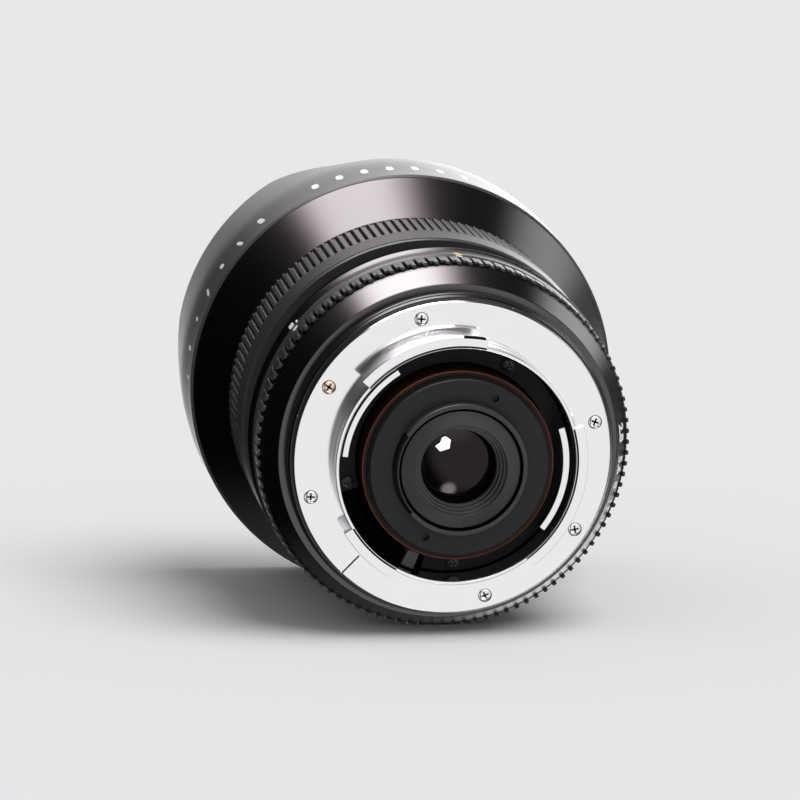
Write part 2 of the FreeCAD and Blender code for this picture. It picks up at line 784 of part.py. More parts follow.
def focus_grip():
    seat_r = grip_seat_r + seat
    rear = grip_rear + seat
    front = focus_front - seat
    section = [(seat_r, rear), (grip_rear_r - edge, rear), (grip_rear_r, rear + edge),
               (grip_front_r, front - edge), (grip_front_r - edge, front), (seat_r, front)]
    blank = turned("grip_blank", section)
    count = int(rib_count.value)
    pitch = 360.0 / count
    half = pitch * rib_share.value / 2
    outer = grip_front_r.value + OVER
    inner = grip_rear_r.value - rib_depth.value
    cutters = []
    for i in range(count):
        middle = i * pitch
        outline = [polar(inner, middle - half), polar(outer, middle - half),
                   polar(outer, middle + half), polar(inner, middle + half)]
        cutters.append(prism(outline, rear.value + edge.value * 2, front.value - rear.value))
        foot = [polar(inner, middle), polar(outer, middle),
                polar(outer, middle + half + pitch * 0.32), polar(inner, middle + half + pitch * 0.32)]
        cutters.append(prism(foot, front.value - rib_foot.value, rib_foot.value))
    return cut("focus_grip", blank, [solid("grip_grooves", Part.makeCompound(cutters))])


nut_r = barrel_bore - run * 1.6


def helicoid_nut():
    rear = housing_front + barrel_lip_len + air
    section = [(nut_r - nut_wall, rear), (nut_r, rear), (nut_r, focus_front),
               (nut_r - nut_wall, focus_front)]
    blank = turned("nut_blank", section)
    return cut("helicoid_nut", blank, drive_holes("nut", nut_r - nut_wall + air * 2, nut_r + OVER))


def drive_screws():
    screws = []
    near = nut_r - nut_wall + air * 2
    for angle in DRIVE_SCREWS:
        x, z = math.cos(math.radians(angle)), math.sin(math.radians(angle))
        screws.append(rod("drive_screw" + str(angle), drive_r, clock(near, angle, drive_y),
                          grip_seat_r - near, (x, 0, z)))
    return group("drive_screws", screws)


# The optical block: three cells that slide together
def helicoid_cell():
    bore = cell_r - cell_wall
    section = [(rear_cell_r + run, cell_rear), (cell_r, cell_rear), (cell_r, cell_front),
               (bore, cell_front), (bore, cell_rear + web_t), (rear_cell_r + run, cell_rear + web_t)]
    blank = turned("helicoid_cell_blank", section)
    tools = []
    for angle in GUIDE_KEYS:
        tools.append(block("key_groove" + str(angle), cell_r - key_depth - run, cell_r + OVER,
                           key_w / 2 + run, cell_rear - OVER, barrel_lip_len + OVER, angle))
    for angle in CELL_SCREWS:
        tools.append(rod("cell_hole" + str(angle), screw_r + seat,
                         clock(cell_r - cell_wall / 2, angle, cell_front - 4), 4 + OVER, (0, 1, 0)))
    tools.append(lever_slot("web_slot", cell_rear, web_t))
    return cut("helicoid_cell", blank, tools)


def lever_slot(label, y, length):
    """The arc that the stop-down lever sweeps, cut through a wall."""
    play = lever_w.value / 2 + 2
    return sector(label, lever_r - air * 0.7, lever_r + lever_t + air * 0.7, plain(y) - OVER,
                  plain(length) + 2 * OVER, LEVER - stop_turn.value - play, LEVER + play)


def front_cell():
    one, two, three = glass_one_r + seat, glass_two_r + seat, glass_three_r + seat
    thread = one + 1.2
    section = [(three - 1.1, front_hub_rear), (front_hub_r, front_hub_rear), (front_hub_r, cell_front),
               (front_cell_r, cell_front), (front_cell_r, front_cell_front - edge),
               (front_cell_r - edge, front_cell_front), (thread, front_cell_front),
               (thread, rim_y - air), (one, rim_y - air), (one, glass_one_seat), (two, glass_one_seat),
               (two, glass_two_seat), (three, glass_two_seat), (three, glass_three_seat),
               (three - 1.1, glass_three_seat)]
    blank = turned("front_cell_blank", section)
    tools = []
    for angle in CELL_SCREWS:
        circle = cell_r - cell_wall / 2
        tools.append(rod("front_cell_hole" + str(angle), screw_r + seat,
                         clock(circle, angle, cell_front - OVER), 4, (0, 1, 0)))
        tools.append(rod("front_cell_sink" + str(angle), screw_head_r + seat,
                         clock(circle, angle, cell_front + 2), glass_one_seat - cell_front, (0, 1, 0)))
    return cut("front_cell", blank, tools)


def cell_screws():
    screws = []
    for angle in CELL_SCREWS:
        spot = clock(cell_r - cell_wall / 2, angle, cell_front + 2 + screw_head_t)
        screws.append(cross_screw("cell_screw" + str(angle), spot, (0, -1, 0), screw_head_r,
                                  screw_head_t, screw_r, screw_head_t + 5, angle, False))
    return group("cell_screws", screws)


def sag(radius, curve):
    """Depth of a spherical face at a radius from the axis."""
    return plain(curve) - root(plain(curve) * curve - plain(radius) * radius)


rim_y = glass_one_front - sag(glass_one_r, glass_one_curve)


def touching(radius, vertex, curve):
    """Height just clear of a spherical face at a radius from the axis."""
    return plain(vertex) - sag(radius, curve) + seat * 4


def front_retainer():
    thread = glass_one_r + 1.2
    inner = glass_one_r - 1.1
    outer = glass_one_r - 0.25
    low = touching(outer, glass_one_front, glass_one_curve)
    section = [(outer, low), (thread, low), (thread, front_cell_front - edge),
               (inner, front_cell_front - edge),
               (inner, touching(inner, glass_one_front, glass_one_curve))]
    return turned("front_retainer", section)


def retainer(label, radius, vertex, curve, front, width):
    """A ring that holds a lens element's rim, seated on its curved face."""
    inner = radius - width
    outer = radius - 0.1
    low = touching(outer, vertex, curve)
    section = [(inner, touching(inner, vertex, curve)), (outer, low), (radius, low),
               (radius, front), (inner, front)]
    return turned(label, section)


def middle_cell():
    floor = cell_rear + web_t + iris_floor + iris_depth
    doublet = glass_four_r + seat
    single = glass_six_r + seat
    section = [(single - 1, floor), (iris_rim_r, floor), (iris_rim_r, floor + 1.6),
               (doublet + 1.6, floor + 1.6), (doublet + 1.6, floor + 12.6), (doublet, floor + 12.6),
               (doublet, floor + 4.9), (single, floor + 4.9), (single, floor + 0.8),
               (single - 1, floor + 0.8)]
    return turned("middle_cell", section)


def rear_cell():
    big = glass_rear_r + seat
    last = glass_last_r + seat
    flange_front = cell_rear
    section = [(last, -rear_cell_rear), (rear_cell_r, -rear_cell_rear),
               (rear_cell_r, flange_front - rear_flange_t), (rear_flange_r, flange_front - rear_flange_t),
               (rear_flange_r, flange_front), (rear_cell_r, flange_front),
               (rear_cell_r, cell_rear + web_t - seat), (big, cell_rear + web_t - seat), (big, 1.5),
               (last - 0.42, 1.5), (last - 0.42, 0.5), (last, 0.5)]
    blank = turned("rear_cell_blank", section)
    slot = lever_slot("rear_flange_slot", flange_front - rear_flange_t, rear_flange_t)
    return cut("rear_cell", blank, [slot])


def rear_disc():
    rear = -rear_cell_rear - rear_disc_t
    section = [(rear_ring_r + seat, rear), (rear_disc_r - edge, rear), (rear_disc_r, rear + edge),
               (rear_disc_r, -rear_cell_rear), (rear_ring_r + seat, -rear_cell_rear)]
    blank = turned("rear_disc_blank", section)
    holes = [rod("spanner_hole" + str(a), span_hole_r, clock(span_circle, a, rear - OVER),
                 rear_disc_t + 2 * OVER, (0, 1, 0)) for a in SPANNER_HOLES]
    return cut("rear_disc", blank, holes)


def rear_ring():
    front = -rear_cell_rear
    rear = front - rear_ring_reach
    gap = rear_ring_r - 1.3
    spigot = glass_last_r - 0.02
    section = [(rear_window + 0.4, front + 1.4), (spigot, front + 1.4), (spigot, front),
               (rear_ring_r, front), (rear_ring_r, rear + edge), (rear_ring_r - edge, rear),
               (gap + 0.45, rear), (gap + 0.45, rear + 0.7), (gap, rear + 0.7), (gap, rear + 0.5),
               (rear_mouth, rear), (rear_mouth, rear + 0.7), (rear_mouth - 0.5, rear + 0.7),
               (rear_mouth - 0.5, rear + 1.5), (rear_mouth - 1, rear + 1.5),
               (rear_mouth - 1, rear + 2.3), (rear_window, rear + 2.3), (rear_window, front + 0.3)]
    return turned("rear_ring", section)


def brass_ring():
    inner = rear_cell_r + seat
    section = [(inner, -rear_cell_rear + 0.4), (inner + brass_wall - edge / 2, -rear_cell_rear + 0.4),
               (inner + brass_wall, -rear_cell_rear + 0.4 + edge / 2), (inner + brass_wall, 2),
               (inner, 2)]
    return turned("brass_ring", section)


def ring_spacer(label, rear, front, inner):
    section = [(inner, rear), (glass_rear_r, rear), (glass_rear_r, front), (inner, front)]
    return turned(label, section)


# The iris: a housing, six blades in thin layers, the ring that drives them and its lever
iris_y = cell_rear + web_t
blade_base = iris_y + iris_floor + 0.4
ring_y = iris_y + iris_floor + iris_depth - iris_ring_t - 0.8


def rotate(point, centre, degrees):
    turn = math.radians(degrees)
    x, z = point[0] - centre[0], point[1] - centre[1]
    return (centre[0] + x * math.cos(turn) - z * math.sin(turn),
            centre[1] + x * math.sin(turn) + z * math.cos(turn))


def blade_swing():
    """Angle that a blade turns between fully open and smallest, degrees."""
    shift = blade_open_r.value - blade_small_r.value
    return 2 * math.degrees(math.asin(shift / (2 * pivot_r.value)))


def pin_place(share):
    """Driving pin of the blade at clock angle 0: share 0 at rest (smallest), 1 fully open."""
    pivot = (pivot_r.value, 0.0)
    lean = math.degrees(math.asin(pin_arm.value / (2 * pivot_r.value)))
    start = rotate((pivot[0], -pin_arm.value), pivot, -lean)
    return rotate(start, pivot, blade_swing() * (0.5 - share))


def iris_housing():
    floor = iris_y + iris_floor
    rim_in = iris_rim_r - iris_rim_wall
    section = [(blade_open_r + 0.8, iris_y), (iris_rim_r, iris_y), (iris_rim_r, floor + iris_depth),
               (rim_in, floor + iris_depth), (rim_in, floor), (blade_open_r + 0.8, floor)]
    blank = turned("iris_housing_blank", section)
    tools = [lever_slot("iris_slot", iris_y, iris_floor)]
    for i in range(6):
        tools.append(rod("pivot_hole" + str(i), pin_r + run, clock(pivot_r, i * BLADE_STEP, iris_y - OVER),
                         iris_floor + 2 * OVER, (0, 1, 0)))
    return cut("iris_housing", blank, tools)


def iris_ring():
    rim_in = iris_rim_r - iris_rim_wall
    section = [(pivot_r - 4, ring_y), (rim_in - run, ring_y), (rim_in - run, ring_y + iris_ring_t),
               (pivot_r - 4, ring_y + iris_ring_t)]
    blank = turned("iris_ring_blank", section)
    half = pin_r.value + 0.12
    steps = 16
    path = []
    for i in range(steps + 1):
        share = i / steps
        path.append(rotate(pin_place(share), (0, 0), stop_turn.value * share))
    lead = 0.8 / pivot_r.value
    first, last = path[0], path[-1]
    path = [rotate(first, (0, 0), -math.degrees(lead))] + path + [rotate(last, (0, 0), math.degrees(lead))]
    outer = [(x * (1 + half / math.hypot(x, z)), z * (1 + half / math.hypot(x, z))) for x, z in path]
    inner = [(x * (1 - half / math.hypot(x, z)), z * (1 - half / math.hypot(x, z))) for x, z in path]
    slots = []
    for i in range(6):
        outline = [rotate(p, (0, 0), i * BLADE_STEP) for p in outer + inner[::-1]]
        slots.append(prism(outline, ring_y.value - OVER, iris_ring_t.value + 2 * OVER))
    half = lever_w.value / 2 + 0.1
    notch = sector("lever_notch", lever_r - seat, iris_rim_r, ring_y - OVER,
                   iris_ring_t / 2 + OVER + seat, LEVER - half, LEVER + half)
    return cut("iris_ring", blank, [solid("iris_slots", Part.makeCompound(slots)), notch])


def iris_blade(i):
    """One blade at its smallest opening: a crescent, a tab, a pivot pin and a driving pin."""
    pivot = (pivot_r.value, 0.0)
    pin = pin_place(0)
    inner = blade_open_r.value
    outer = inner + blade_w.value
    swing = blade_swing()
    arc_in, arc_out = [], []
    steps = 20
    for k in range(steps + 1):
        angle = 4 + 112.0 * k / steps
        arc_in.append(rotate(polar(inner, angle), pivot, swing))
        arc_out.append(rotate(polar(outer, angle), pivot, swing))
    y = blade_base.value + i * blade_pitch.value
    thick = blade_t.value
    sheet_metal = prism(arc_in + arc_out[::-1], y, thick)
    reach = pin_r.value + 0.75
    tab = [(pivot[0] + reach, 0.3), (pivot[0] + 0.4, reach),
           rotate(polar(outer - 1.2, 30), pivot, swing), rotate(polar(inner + 1, 5), pivot, swing),
           (pin[0] - reach * 0.8, pin[1] - reach * 0.6), (pin[0] + reach * 0.4, pin[1] - reach)]
    arm = prism(tab, y, thick)
    down = Part.makeCylinder(pin_r.value, y - iris_y.value - 0.1, Vector(pivot[0], iris_y.value + 0.1, 0),
                             Vector(0, 1, 0))
    top = ring_y.value + iris_ring_t.value - 0.1
    up = Part.makeCylinder(pin_r.value, top - y, Vector(pin[0], y, pin[1]), Vector(0, 1, 0))
    shape = sheet_metal.fuse([arm, down, up]).removeSplitter()
    shape.rotate(Vector(0, 0, 0), Vector(0, 1, 0), -i * BLADE_STEP)
    return solid("iris_blade_" + str(i + 1), shape)


def stop_down_lever():
    half = lever_w.value / 2
    strip = sector("lever_strip", lever_r, lever_r + lever_t, -lever_reach,
                   ring_y + lever_reach + iris_ring_t * 0.5, LEVER - half, LEVER + half)
    foot = sector("lever_foot", lever_r, lever_foot_r, -lever_reach, 0.8, LEVER - half, LEVER + half)
    return joined("stop_down_lever", [strip, foot])


def glass_elements():
    one = glass("front_element", glass_one_r, ("convex", glass_one_front, glass_one_curve),
                ("concave", glass_one_front - 5, 22.0, glass_one_seat))
    two = glass("second_element", glass_two_r, ("convex", glass_two_front, glass_two_curve),
                ("concave", 60.0, 14.0, glass_two_seat))
    three = glass("third_element", glass_three_r, ("convex", glass_three_front, glass_three_curve),
                  ("concave", 52.3, 12.0, glass_three_seat))
    four = glass("fourth_element", glass_four_r, ("convex", 45.2, 40.0), ("convex", 40.4, 30.0))
    bond = 40.4 + sag(glass_four_r, 30.0)
    five = glass("fifth_element", glass_four_r, ("concave", 40.4, 30.0, bond),
                 ("flat", 38.4, 0, 38.4))
    six = glass("sixth_element", glass_six_r, ("convex", 37.6, 35.0), ("convex", 33.5, 40.0))
    seven = glass("seventh_element", glass_rear_r, ("convex", 26.0, 45.0), ("convex", 22.8, 40.0))
    bond = 22.8 + sag(glass_rear_r, 40.0)
    eight = glass("eighth_element", glass_rear_r, ("concave", 22.8, 40.0, bond),
                  ("concave", 21.6, 35.0, 20.4))
    nine = glass("ninth_element", glass_rear_r, ("convex", 19.2, 30.0), ("convex", 14.6, 22.0))
    bond = 14.6 + sag(glass_rear_r, 22.0)
    ten = glass("tenth_element", glass_rear_r, ("concave", 14.6, 22.0, bond),
                ("concave", 13.0, 60.0, 12.6))
    eleven = glass("eleventh_element", glass_rear_r, ("convex", 11.4, 50.0), ("convex", 7.6, 60.0))
    twelve = glass("twelfth_element", glass_rear_r, ("convex", 7.2, 40.0), ("convex", 3.6, 26.0))
    bond = 3.6 + sag(glass_rear_r, 26.0)
    thirteen = glass("thirteenth_element", glass_rear_r, ("concave", 3.6, 26.0, bond),
                     ("concave", 2.1, 50.0, 1.55))
    last = glass("rear_element", glass_last_r, ("convex", 0.2, 40.0), ("convex", -4.2, 30.0))
    return [one, two, three, four, five, six, seven, eight, nine, ten, eleven, twelve, thirteen, last]


parts = [mount_flange(), mount_base(), mount_screws(), rear_housing(), detent_ball(), detent_spring(),
         recess_baffle(), baffle_screws(),
         guard_strip("guard_strip_long", long_strip_in, long_strip_w, LONG_STRIP),
         guard_strip("guard_strip_short", short_strip_in, short_strip_w, SHORT_STRIP),
         aperture_ring(), aperture_link(), index_ring(),
         main_barrel(), guide_keys(), nut_retainer(), front_barrel(), petal_hood(), hood_screws(),
         focus_ring(), focus_grip(), helicoid_nut(), drive_screws(), helicoid_cell(), front_cell(),
         cell_screws(), front_retainer(),
         retainer("second_retainer", glass_two_r, glass_two_front, glass_two_curve,
                  glass_one_seat - air, 0.9),
         retainer("third_retainer", glass_three_r, glass_three_front, glass_three_curve,
                  glass_two_seat - seat, 1.1),
         middle_cell(),
         rear_cell(), rear_disc(), rear_ring(), brass_ring(),
         ring_spacer("front_spacer", 18.0, 20.35, 8.6), ring_spacer("rear_spacer", 10.9, 12.55, 8.8),
         iris_housing(), iris_ring(), stop_down_lever()]
parts += [iris_blade(i) for i in range(6)]
parts += glass_elements()

doc.recompute()

for piece in doc.Objects:
    if "Invalid" in piece.State or "Error" in piece.State:
        raise RuntimeError(piece.Label + " failed: " + str(piece.State))
for piece in parts:
    if piece.Shape.isNull() or not piece.Shape.isValid() or not piece.Shape.Solids:
        raise RuntimeError(piece.Label + " has no valid shape")

os.makedirs("parts", exist_ok=True)
for piece in parts:
    piece.Shape.exportStep("parts/" + piece.Label + ".step")
    print(piece.Label, len(piece.Shape.Solids), round(piece.Shape.Volume, 1))
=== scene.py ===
import bpy
import bmesh
import json
import math
from mathutils import Matrix, Vector


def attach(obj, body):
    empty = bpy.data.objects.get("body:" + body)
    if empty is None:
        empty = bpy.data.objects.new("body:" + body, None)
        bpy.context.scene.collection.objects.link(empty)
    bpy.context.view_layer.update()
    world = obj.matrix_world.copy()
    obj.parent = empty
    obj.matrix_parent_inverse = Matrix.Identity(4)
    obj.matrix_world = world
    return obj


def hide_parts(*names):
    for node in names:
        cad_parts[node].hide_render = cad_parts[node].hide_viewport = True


# Wide-angle prime lens on its side, seen from behind. The lens axis is +Y, forward; +Z is up.
# Sizes are millimetres, and outlines are lists of (radius, y) corners. Clock angles are degrees
# seen from behind, 0 at the right and 90 at the top.

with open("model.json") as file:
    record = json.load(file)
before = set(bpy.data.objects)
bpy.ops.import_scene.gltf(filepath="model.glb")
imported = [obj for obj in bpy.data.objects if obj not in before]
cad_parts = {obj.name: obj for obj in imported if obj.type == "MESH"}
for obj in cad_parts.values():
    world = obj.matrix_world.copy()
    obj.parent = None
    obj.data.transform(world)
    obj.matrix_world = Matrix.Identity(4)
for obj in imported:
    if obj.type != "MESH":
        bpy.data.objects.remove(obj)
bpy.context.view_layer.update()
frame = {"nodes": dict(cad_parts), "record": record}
MM = 0.001


# Geometry helpers
def rounded(corners):
    """A closed outline with rounded corners: (r, y, round, steps), the last two optional."""
    out = []
    for i, corner in enumerate(corners):
        here = Vector(corner[:2])
        back = Vector(corners[i - 1][:2]) - here
        onward = Vector(corners[(i + 1) % len(corners)][:2]) - here
        want = corner[2] if len(corner) > 2 else 0.08
        angle = back.angle(onward)
        if want <= 0 or angle > math.radians(176):
            out.append(here)
            continue
        tangent = min(want / math.tan(angle / 2), 0.42 * back.length, 0.42 * onward.length)
        radius = tangent * math.tan(angle / 2)
        back_way, on_way = back.normalized(), onward.normalized()
        start, end = here + back_way * tangent, here + on_way * tangent
        centre = here + (back_way + on_way).normalized() * radius / math.sin(angle / 2)
        fixed = corner[3] if len(corner) > 3 else 0
        if fixed or back.length > 2.6 * tangent:
            out.append(here + back_way * tangent * 1.3)
        steps = fixed or max(2, math.ceil((math.pi - angle) / math.radians(26)))
        first, last = start - centre, end - centre
        for k in range(steps + 1):
            share = k / steps
            ray = first.lerp(last, share)
            out.append(centre + ray.normalized() * radius)
        if fixed or onward.length > 2.6 * tangent:
            out.append(here + on_way * tangent * 1.3)
    return out


def mesh_of(name, verts, faces, smooth=True, sharp=None):
    """An object from points in millimetres, with its faces turned outwards."""
    mesh = bpy.data.meshes.new(name)
    mesh.from_pydata([tuple(x * MM for x in v) for v in verts], [], faces)
    mesh.validate()
    shape = bmesh.new()
    shape.from_mesh(mesh)
    bmesh.ops.recalc_face_normals(shape, faces=shape.faces)
    shape.to_mesh(mesh)
    shape.free()
    mesh.polygons.foreach_set("use_smooth", [smooth] * len(mesh.polygons))
    if sharp:
        mesh.set_sharp_from_angle(angle=math.radians(sharp))
    obj = bpy.data.objects.new(name, mesh)
    bpy.context.scene.collection.objects.link(obj)
    return obj


def polar(radius, degrees, y):
    turn = math.radians(degrees)
    return (radius * math.cos(turn), y, radius * math.sin(turn))


def lathe(name, corners, steps=360, span=None, sharp=None):
    """A ring turned from an outline, or a sector of it over a span of clock angles."""
    fixed = None if callable(corners) else rounded(corners)
    verts, faces = [], []
    low, high = span or (0, 360)
    rows = steps + 1 if span else steps
    for i in range(rows):
        degrees = low + (high - low) * i / steps
        outline = fixed or rounded(corners(degrees))
        verts += [polar(p[0], degrees, p[1]) for p in outline]
    count = len(outline)
    for i in range(steps):
        a, b = i * count, ((i + 1) % rows) * count
        for k in range(count):
            n = (k + 1) % count
            faces.append((a + k, a + n, b + n, b + k))
    if span:
        faces.append(tuple(range(count)))
        faces.append(tuple(range((rows - 1) * count, rows * count))[::-1])
    return mesh_of(name, verts, faces, sharp=sharp or (40 if span else None))


def field(name, shares, places, height, pitch):
    """One pitch of a relief band: radius from height(share of the pitch, y)."""
    verts = [polar(height(u, y), u * pitch, y) for u in shares for y in places]
    wide = len(places)
    faces = [(i * wide + k, i * wide + k + 1, (i + 1) * wide + k + 1, (i + 1) * wide + k)
             for i in range(len(shares) - 1) for k in range(wide - 1)]
    return mesh_of(name, verts, faces)


def box_at(name, near, far, half, y0, y1, degrees):
    """A bar along a clock angle."""
    turn = math.radians(degrees)
    verts = []
    for r in (near, far):
        for s in (-half, half):
            for y in (y0, y1):
                verts.append((r * math.cos(turn) - s * math.sin(turn), y,
                              r * math.sin(turn) + s * math.cos(turn)))
    faces = [(0, 1, 3, 2), (4, 6, 7, 5), (0, 4, 5, 1), (2, 3, 7, 6), (0, 2, 6, 4), (1, 5, 7, 3)]
    return mesh_of(name, verts, faces, smooth=False)


def prism(name, bottom, top):
    """A block between two outlines with the same number of points."""
    count = len(bottom)
    faces = [tuple(range(count)), tuple(range(count, 2 * count))[::-1]]
    faces += [(i, (i + 1) % count, count + (i + 1) % count, count + i) for i in range(count)]
    return mesh_of(name, bottom + top, faces, smooth=False)


def disc_tool(name, stations, spot, steps=40):
    """A round cutter along y through a point: stations are (radius, y)."""
    verts, faces = [], []
    for r, y in stations:
        for i in range(steps):
            a = 2 * math.pi * i / steps
            verts.append((spot[0] + r * math.cos(a), y, spot[2] + r * math.sin(a)))
    for k in range(len(stations) - 1):
        for i in range(steps):
            n = (i + 1) % steps
            faces.append((k * steps + i, k * steps + n, (k + 1) * steps + n, (k + 1) * steps + i))
    faces.append(tuple(range(steps)))
    faces.append(tuple(range((len(stations) - 1) * steps, len(stations) * steps))[::-1])
    return mesh_of(name, verts, faces, smooth=False)


def baked(obj):
    """Apply every modifier and drop them."""
    view = bpy.context.evaluated_depsgraph_get()
    mesh = bpy.data.meshes.new_from_object(obj.evaluated_get(view))
    old = obj.data
    obj.modifiers.clear()
    obj.data = mesh
    bpy.data.meshes.remove(old)
    return obj


def carve(obj, tools, sharp=35):
    """Cut the tools out of a piece and remove them."""
    for tool in tools:
        step = obj.modifiers.new("carve", "BOOLEAN")
        step.operation = "DIFFERENCE"
        step.solver = "EXACT"
        step.object = tool
    baked(obj)
    for tool in tools:
        bpy.data.objects.remove(tool, do_unlink=True)
    obj.data.polygons.foreach_set("use_smooth", [True] * len(obj.data.polygons))
    obj.data.set_sharp_from_angle(angle=math.radians(sharp))
    return obj


def join(name, pieces):
    """Several meshes as one piece, keeping their materials."""
    with bpy.context.temp_override(active_object=pieces[0], selected_editable_objects=pieces,
                                   selected_objects=pieces, object=pieces[0]):
        bpy.ops.object.join()
    pieces[0].name = name
    pieces[0].data.name = name
    return pieces[0]


# Geometry Nodes: copies of one mesh round the lens axis
def ring_tree():
    """The tree: points in a row, one turned copy on each, realised, welded and painted."""
    tree = bpy.data.node_groups.new("copies_round_axis", "GeometryNodeTree")
    face = tree.interface
    for label, kind in (("Geometry", "NodeSocketGeometry"), ("Count", "NodeSocketInt"),
                        ("Step", "NodeSocketFloat"), ("Start", "NodeSocketFloat"),
                        ("Weld", "NodeSocketFloat"), ("Material", "NodeSocketMaterial")):
        face.new_socket(label, in_out="INPUT", socket_type=kind)
    face.new_socket("Geometry", in_out="OUTPUT", socket_type="NodeSocketGeometry")
    nodes, link = tree.nodes, tree.links.new
    start, end = nodes.new("NodeGroupInput"), nodes.new("NodeGroupOutput")
    line = nodes.new("GeometryNodeMeshLine")
    line.inputs["Offset"].default_value = (0, 0, 0)
    link(start.outputs["Count"], line.inputs["Count"])
    index = nodes.new("GeometryNodeInputIndex")
    turn = nodes.new("ShaderNodeMath")
    turn.operation = "MULTIPLY_ADD"
    link(index.outputs[0], turn.inputs[0])
    link(start.outputs["Step"], turn.inputs[1])
    link(start.outputs["Start"], turn.inputs[2])
    spin = nodes.new("ShaderNodeCombineXYZ")
    link(turn.outputs[0], spin.inputs["Y"])
    copies = nodes.new("GeometryNodeInstanceOnPoints")
    link(line.outputs["Mesh"], copies.inputs["Points"])
    link(start.outputs["Geometry"], copies.inputs["Instance"])
    link(spin.outputs[0], copies.inputs["Rotation"])
    real = nodes.new("GeometryNodeRealizeInstances")
    weld = nodes.new("GeometryNodeMergeByDistance")
    paint = nodes.new("GeometryNodeSetMaterial")
    link(copies.outputs[0], real.inputs[0])
    link(real.outputs[0], weld.inputs["Geometry"])
    link(start.outputs["Weld"], weld.inputs["Distance"])
    link(weld.outputs[0], paint.inputs["Geometry"])
    link(start.outputs["Material"], paint.inputs["Material"])
    link(paint.outputs[0], end.inputs[0])
    return tree


RING = ring_tree()
WELD_GAP = 0.000002  # metres


def copies(obj, count, step, start, mat):
    """Copies round the axis; step and start in degrees of clock angle."""
    obj.data.materials.clear()
    obj.data.materials.append(mat)
    work = obj.modifiers.new("copies", "NODES")
    work.node_group = RING
    values = {"Count": count, "Step": -math.radians(step), "Start": -math.radians(start),
              "Weld": WELD_GAP, "Material": mat}
    for item in RING.interface.items_tree:
        if item.in_out == "INPUT" and item.name in values:
            work[item.identifier] = values[item.name]
    baked(obj)
    if not obj.data.materials:
        obj.data.materials.append(mat)
    return obj


# Materials
def calc(nodes, link, operation, *terms):
    """The output of a math node over sockets and numbers."""
    node = nodes.new("ShaderNodeMath")
    node.operation = operation
    for place, term in zip(node.inputs, terms):
        if isinstance(term, bpy.types.NodeSocket):
            link(term, place)
        else:
            place.default_value = term
    return node.outputs[0]


def new_material(name):
    """A material with its nodes, its link call and its main shader."""
    mat = bpy.data.materials.new(name)
    mat.use_nodes = True
    tree = mat.node_tree
    return mat, tree.nodes, tree.links.new, tree.nodes["Principled BSDF"]


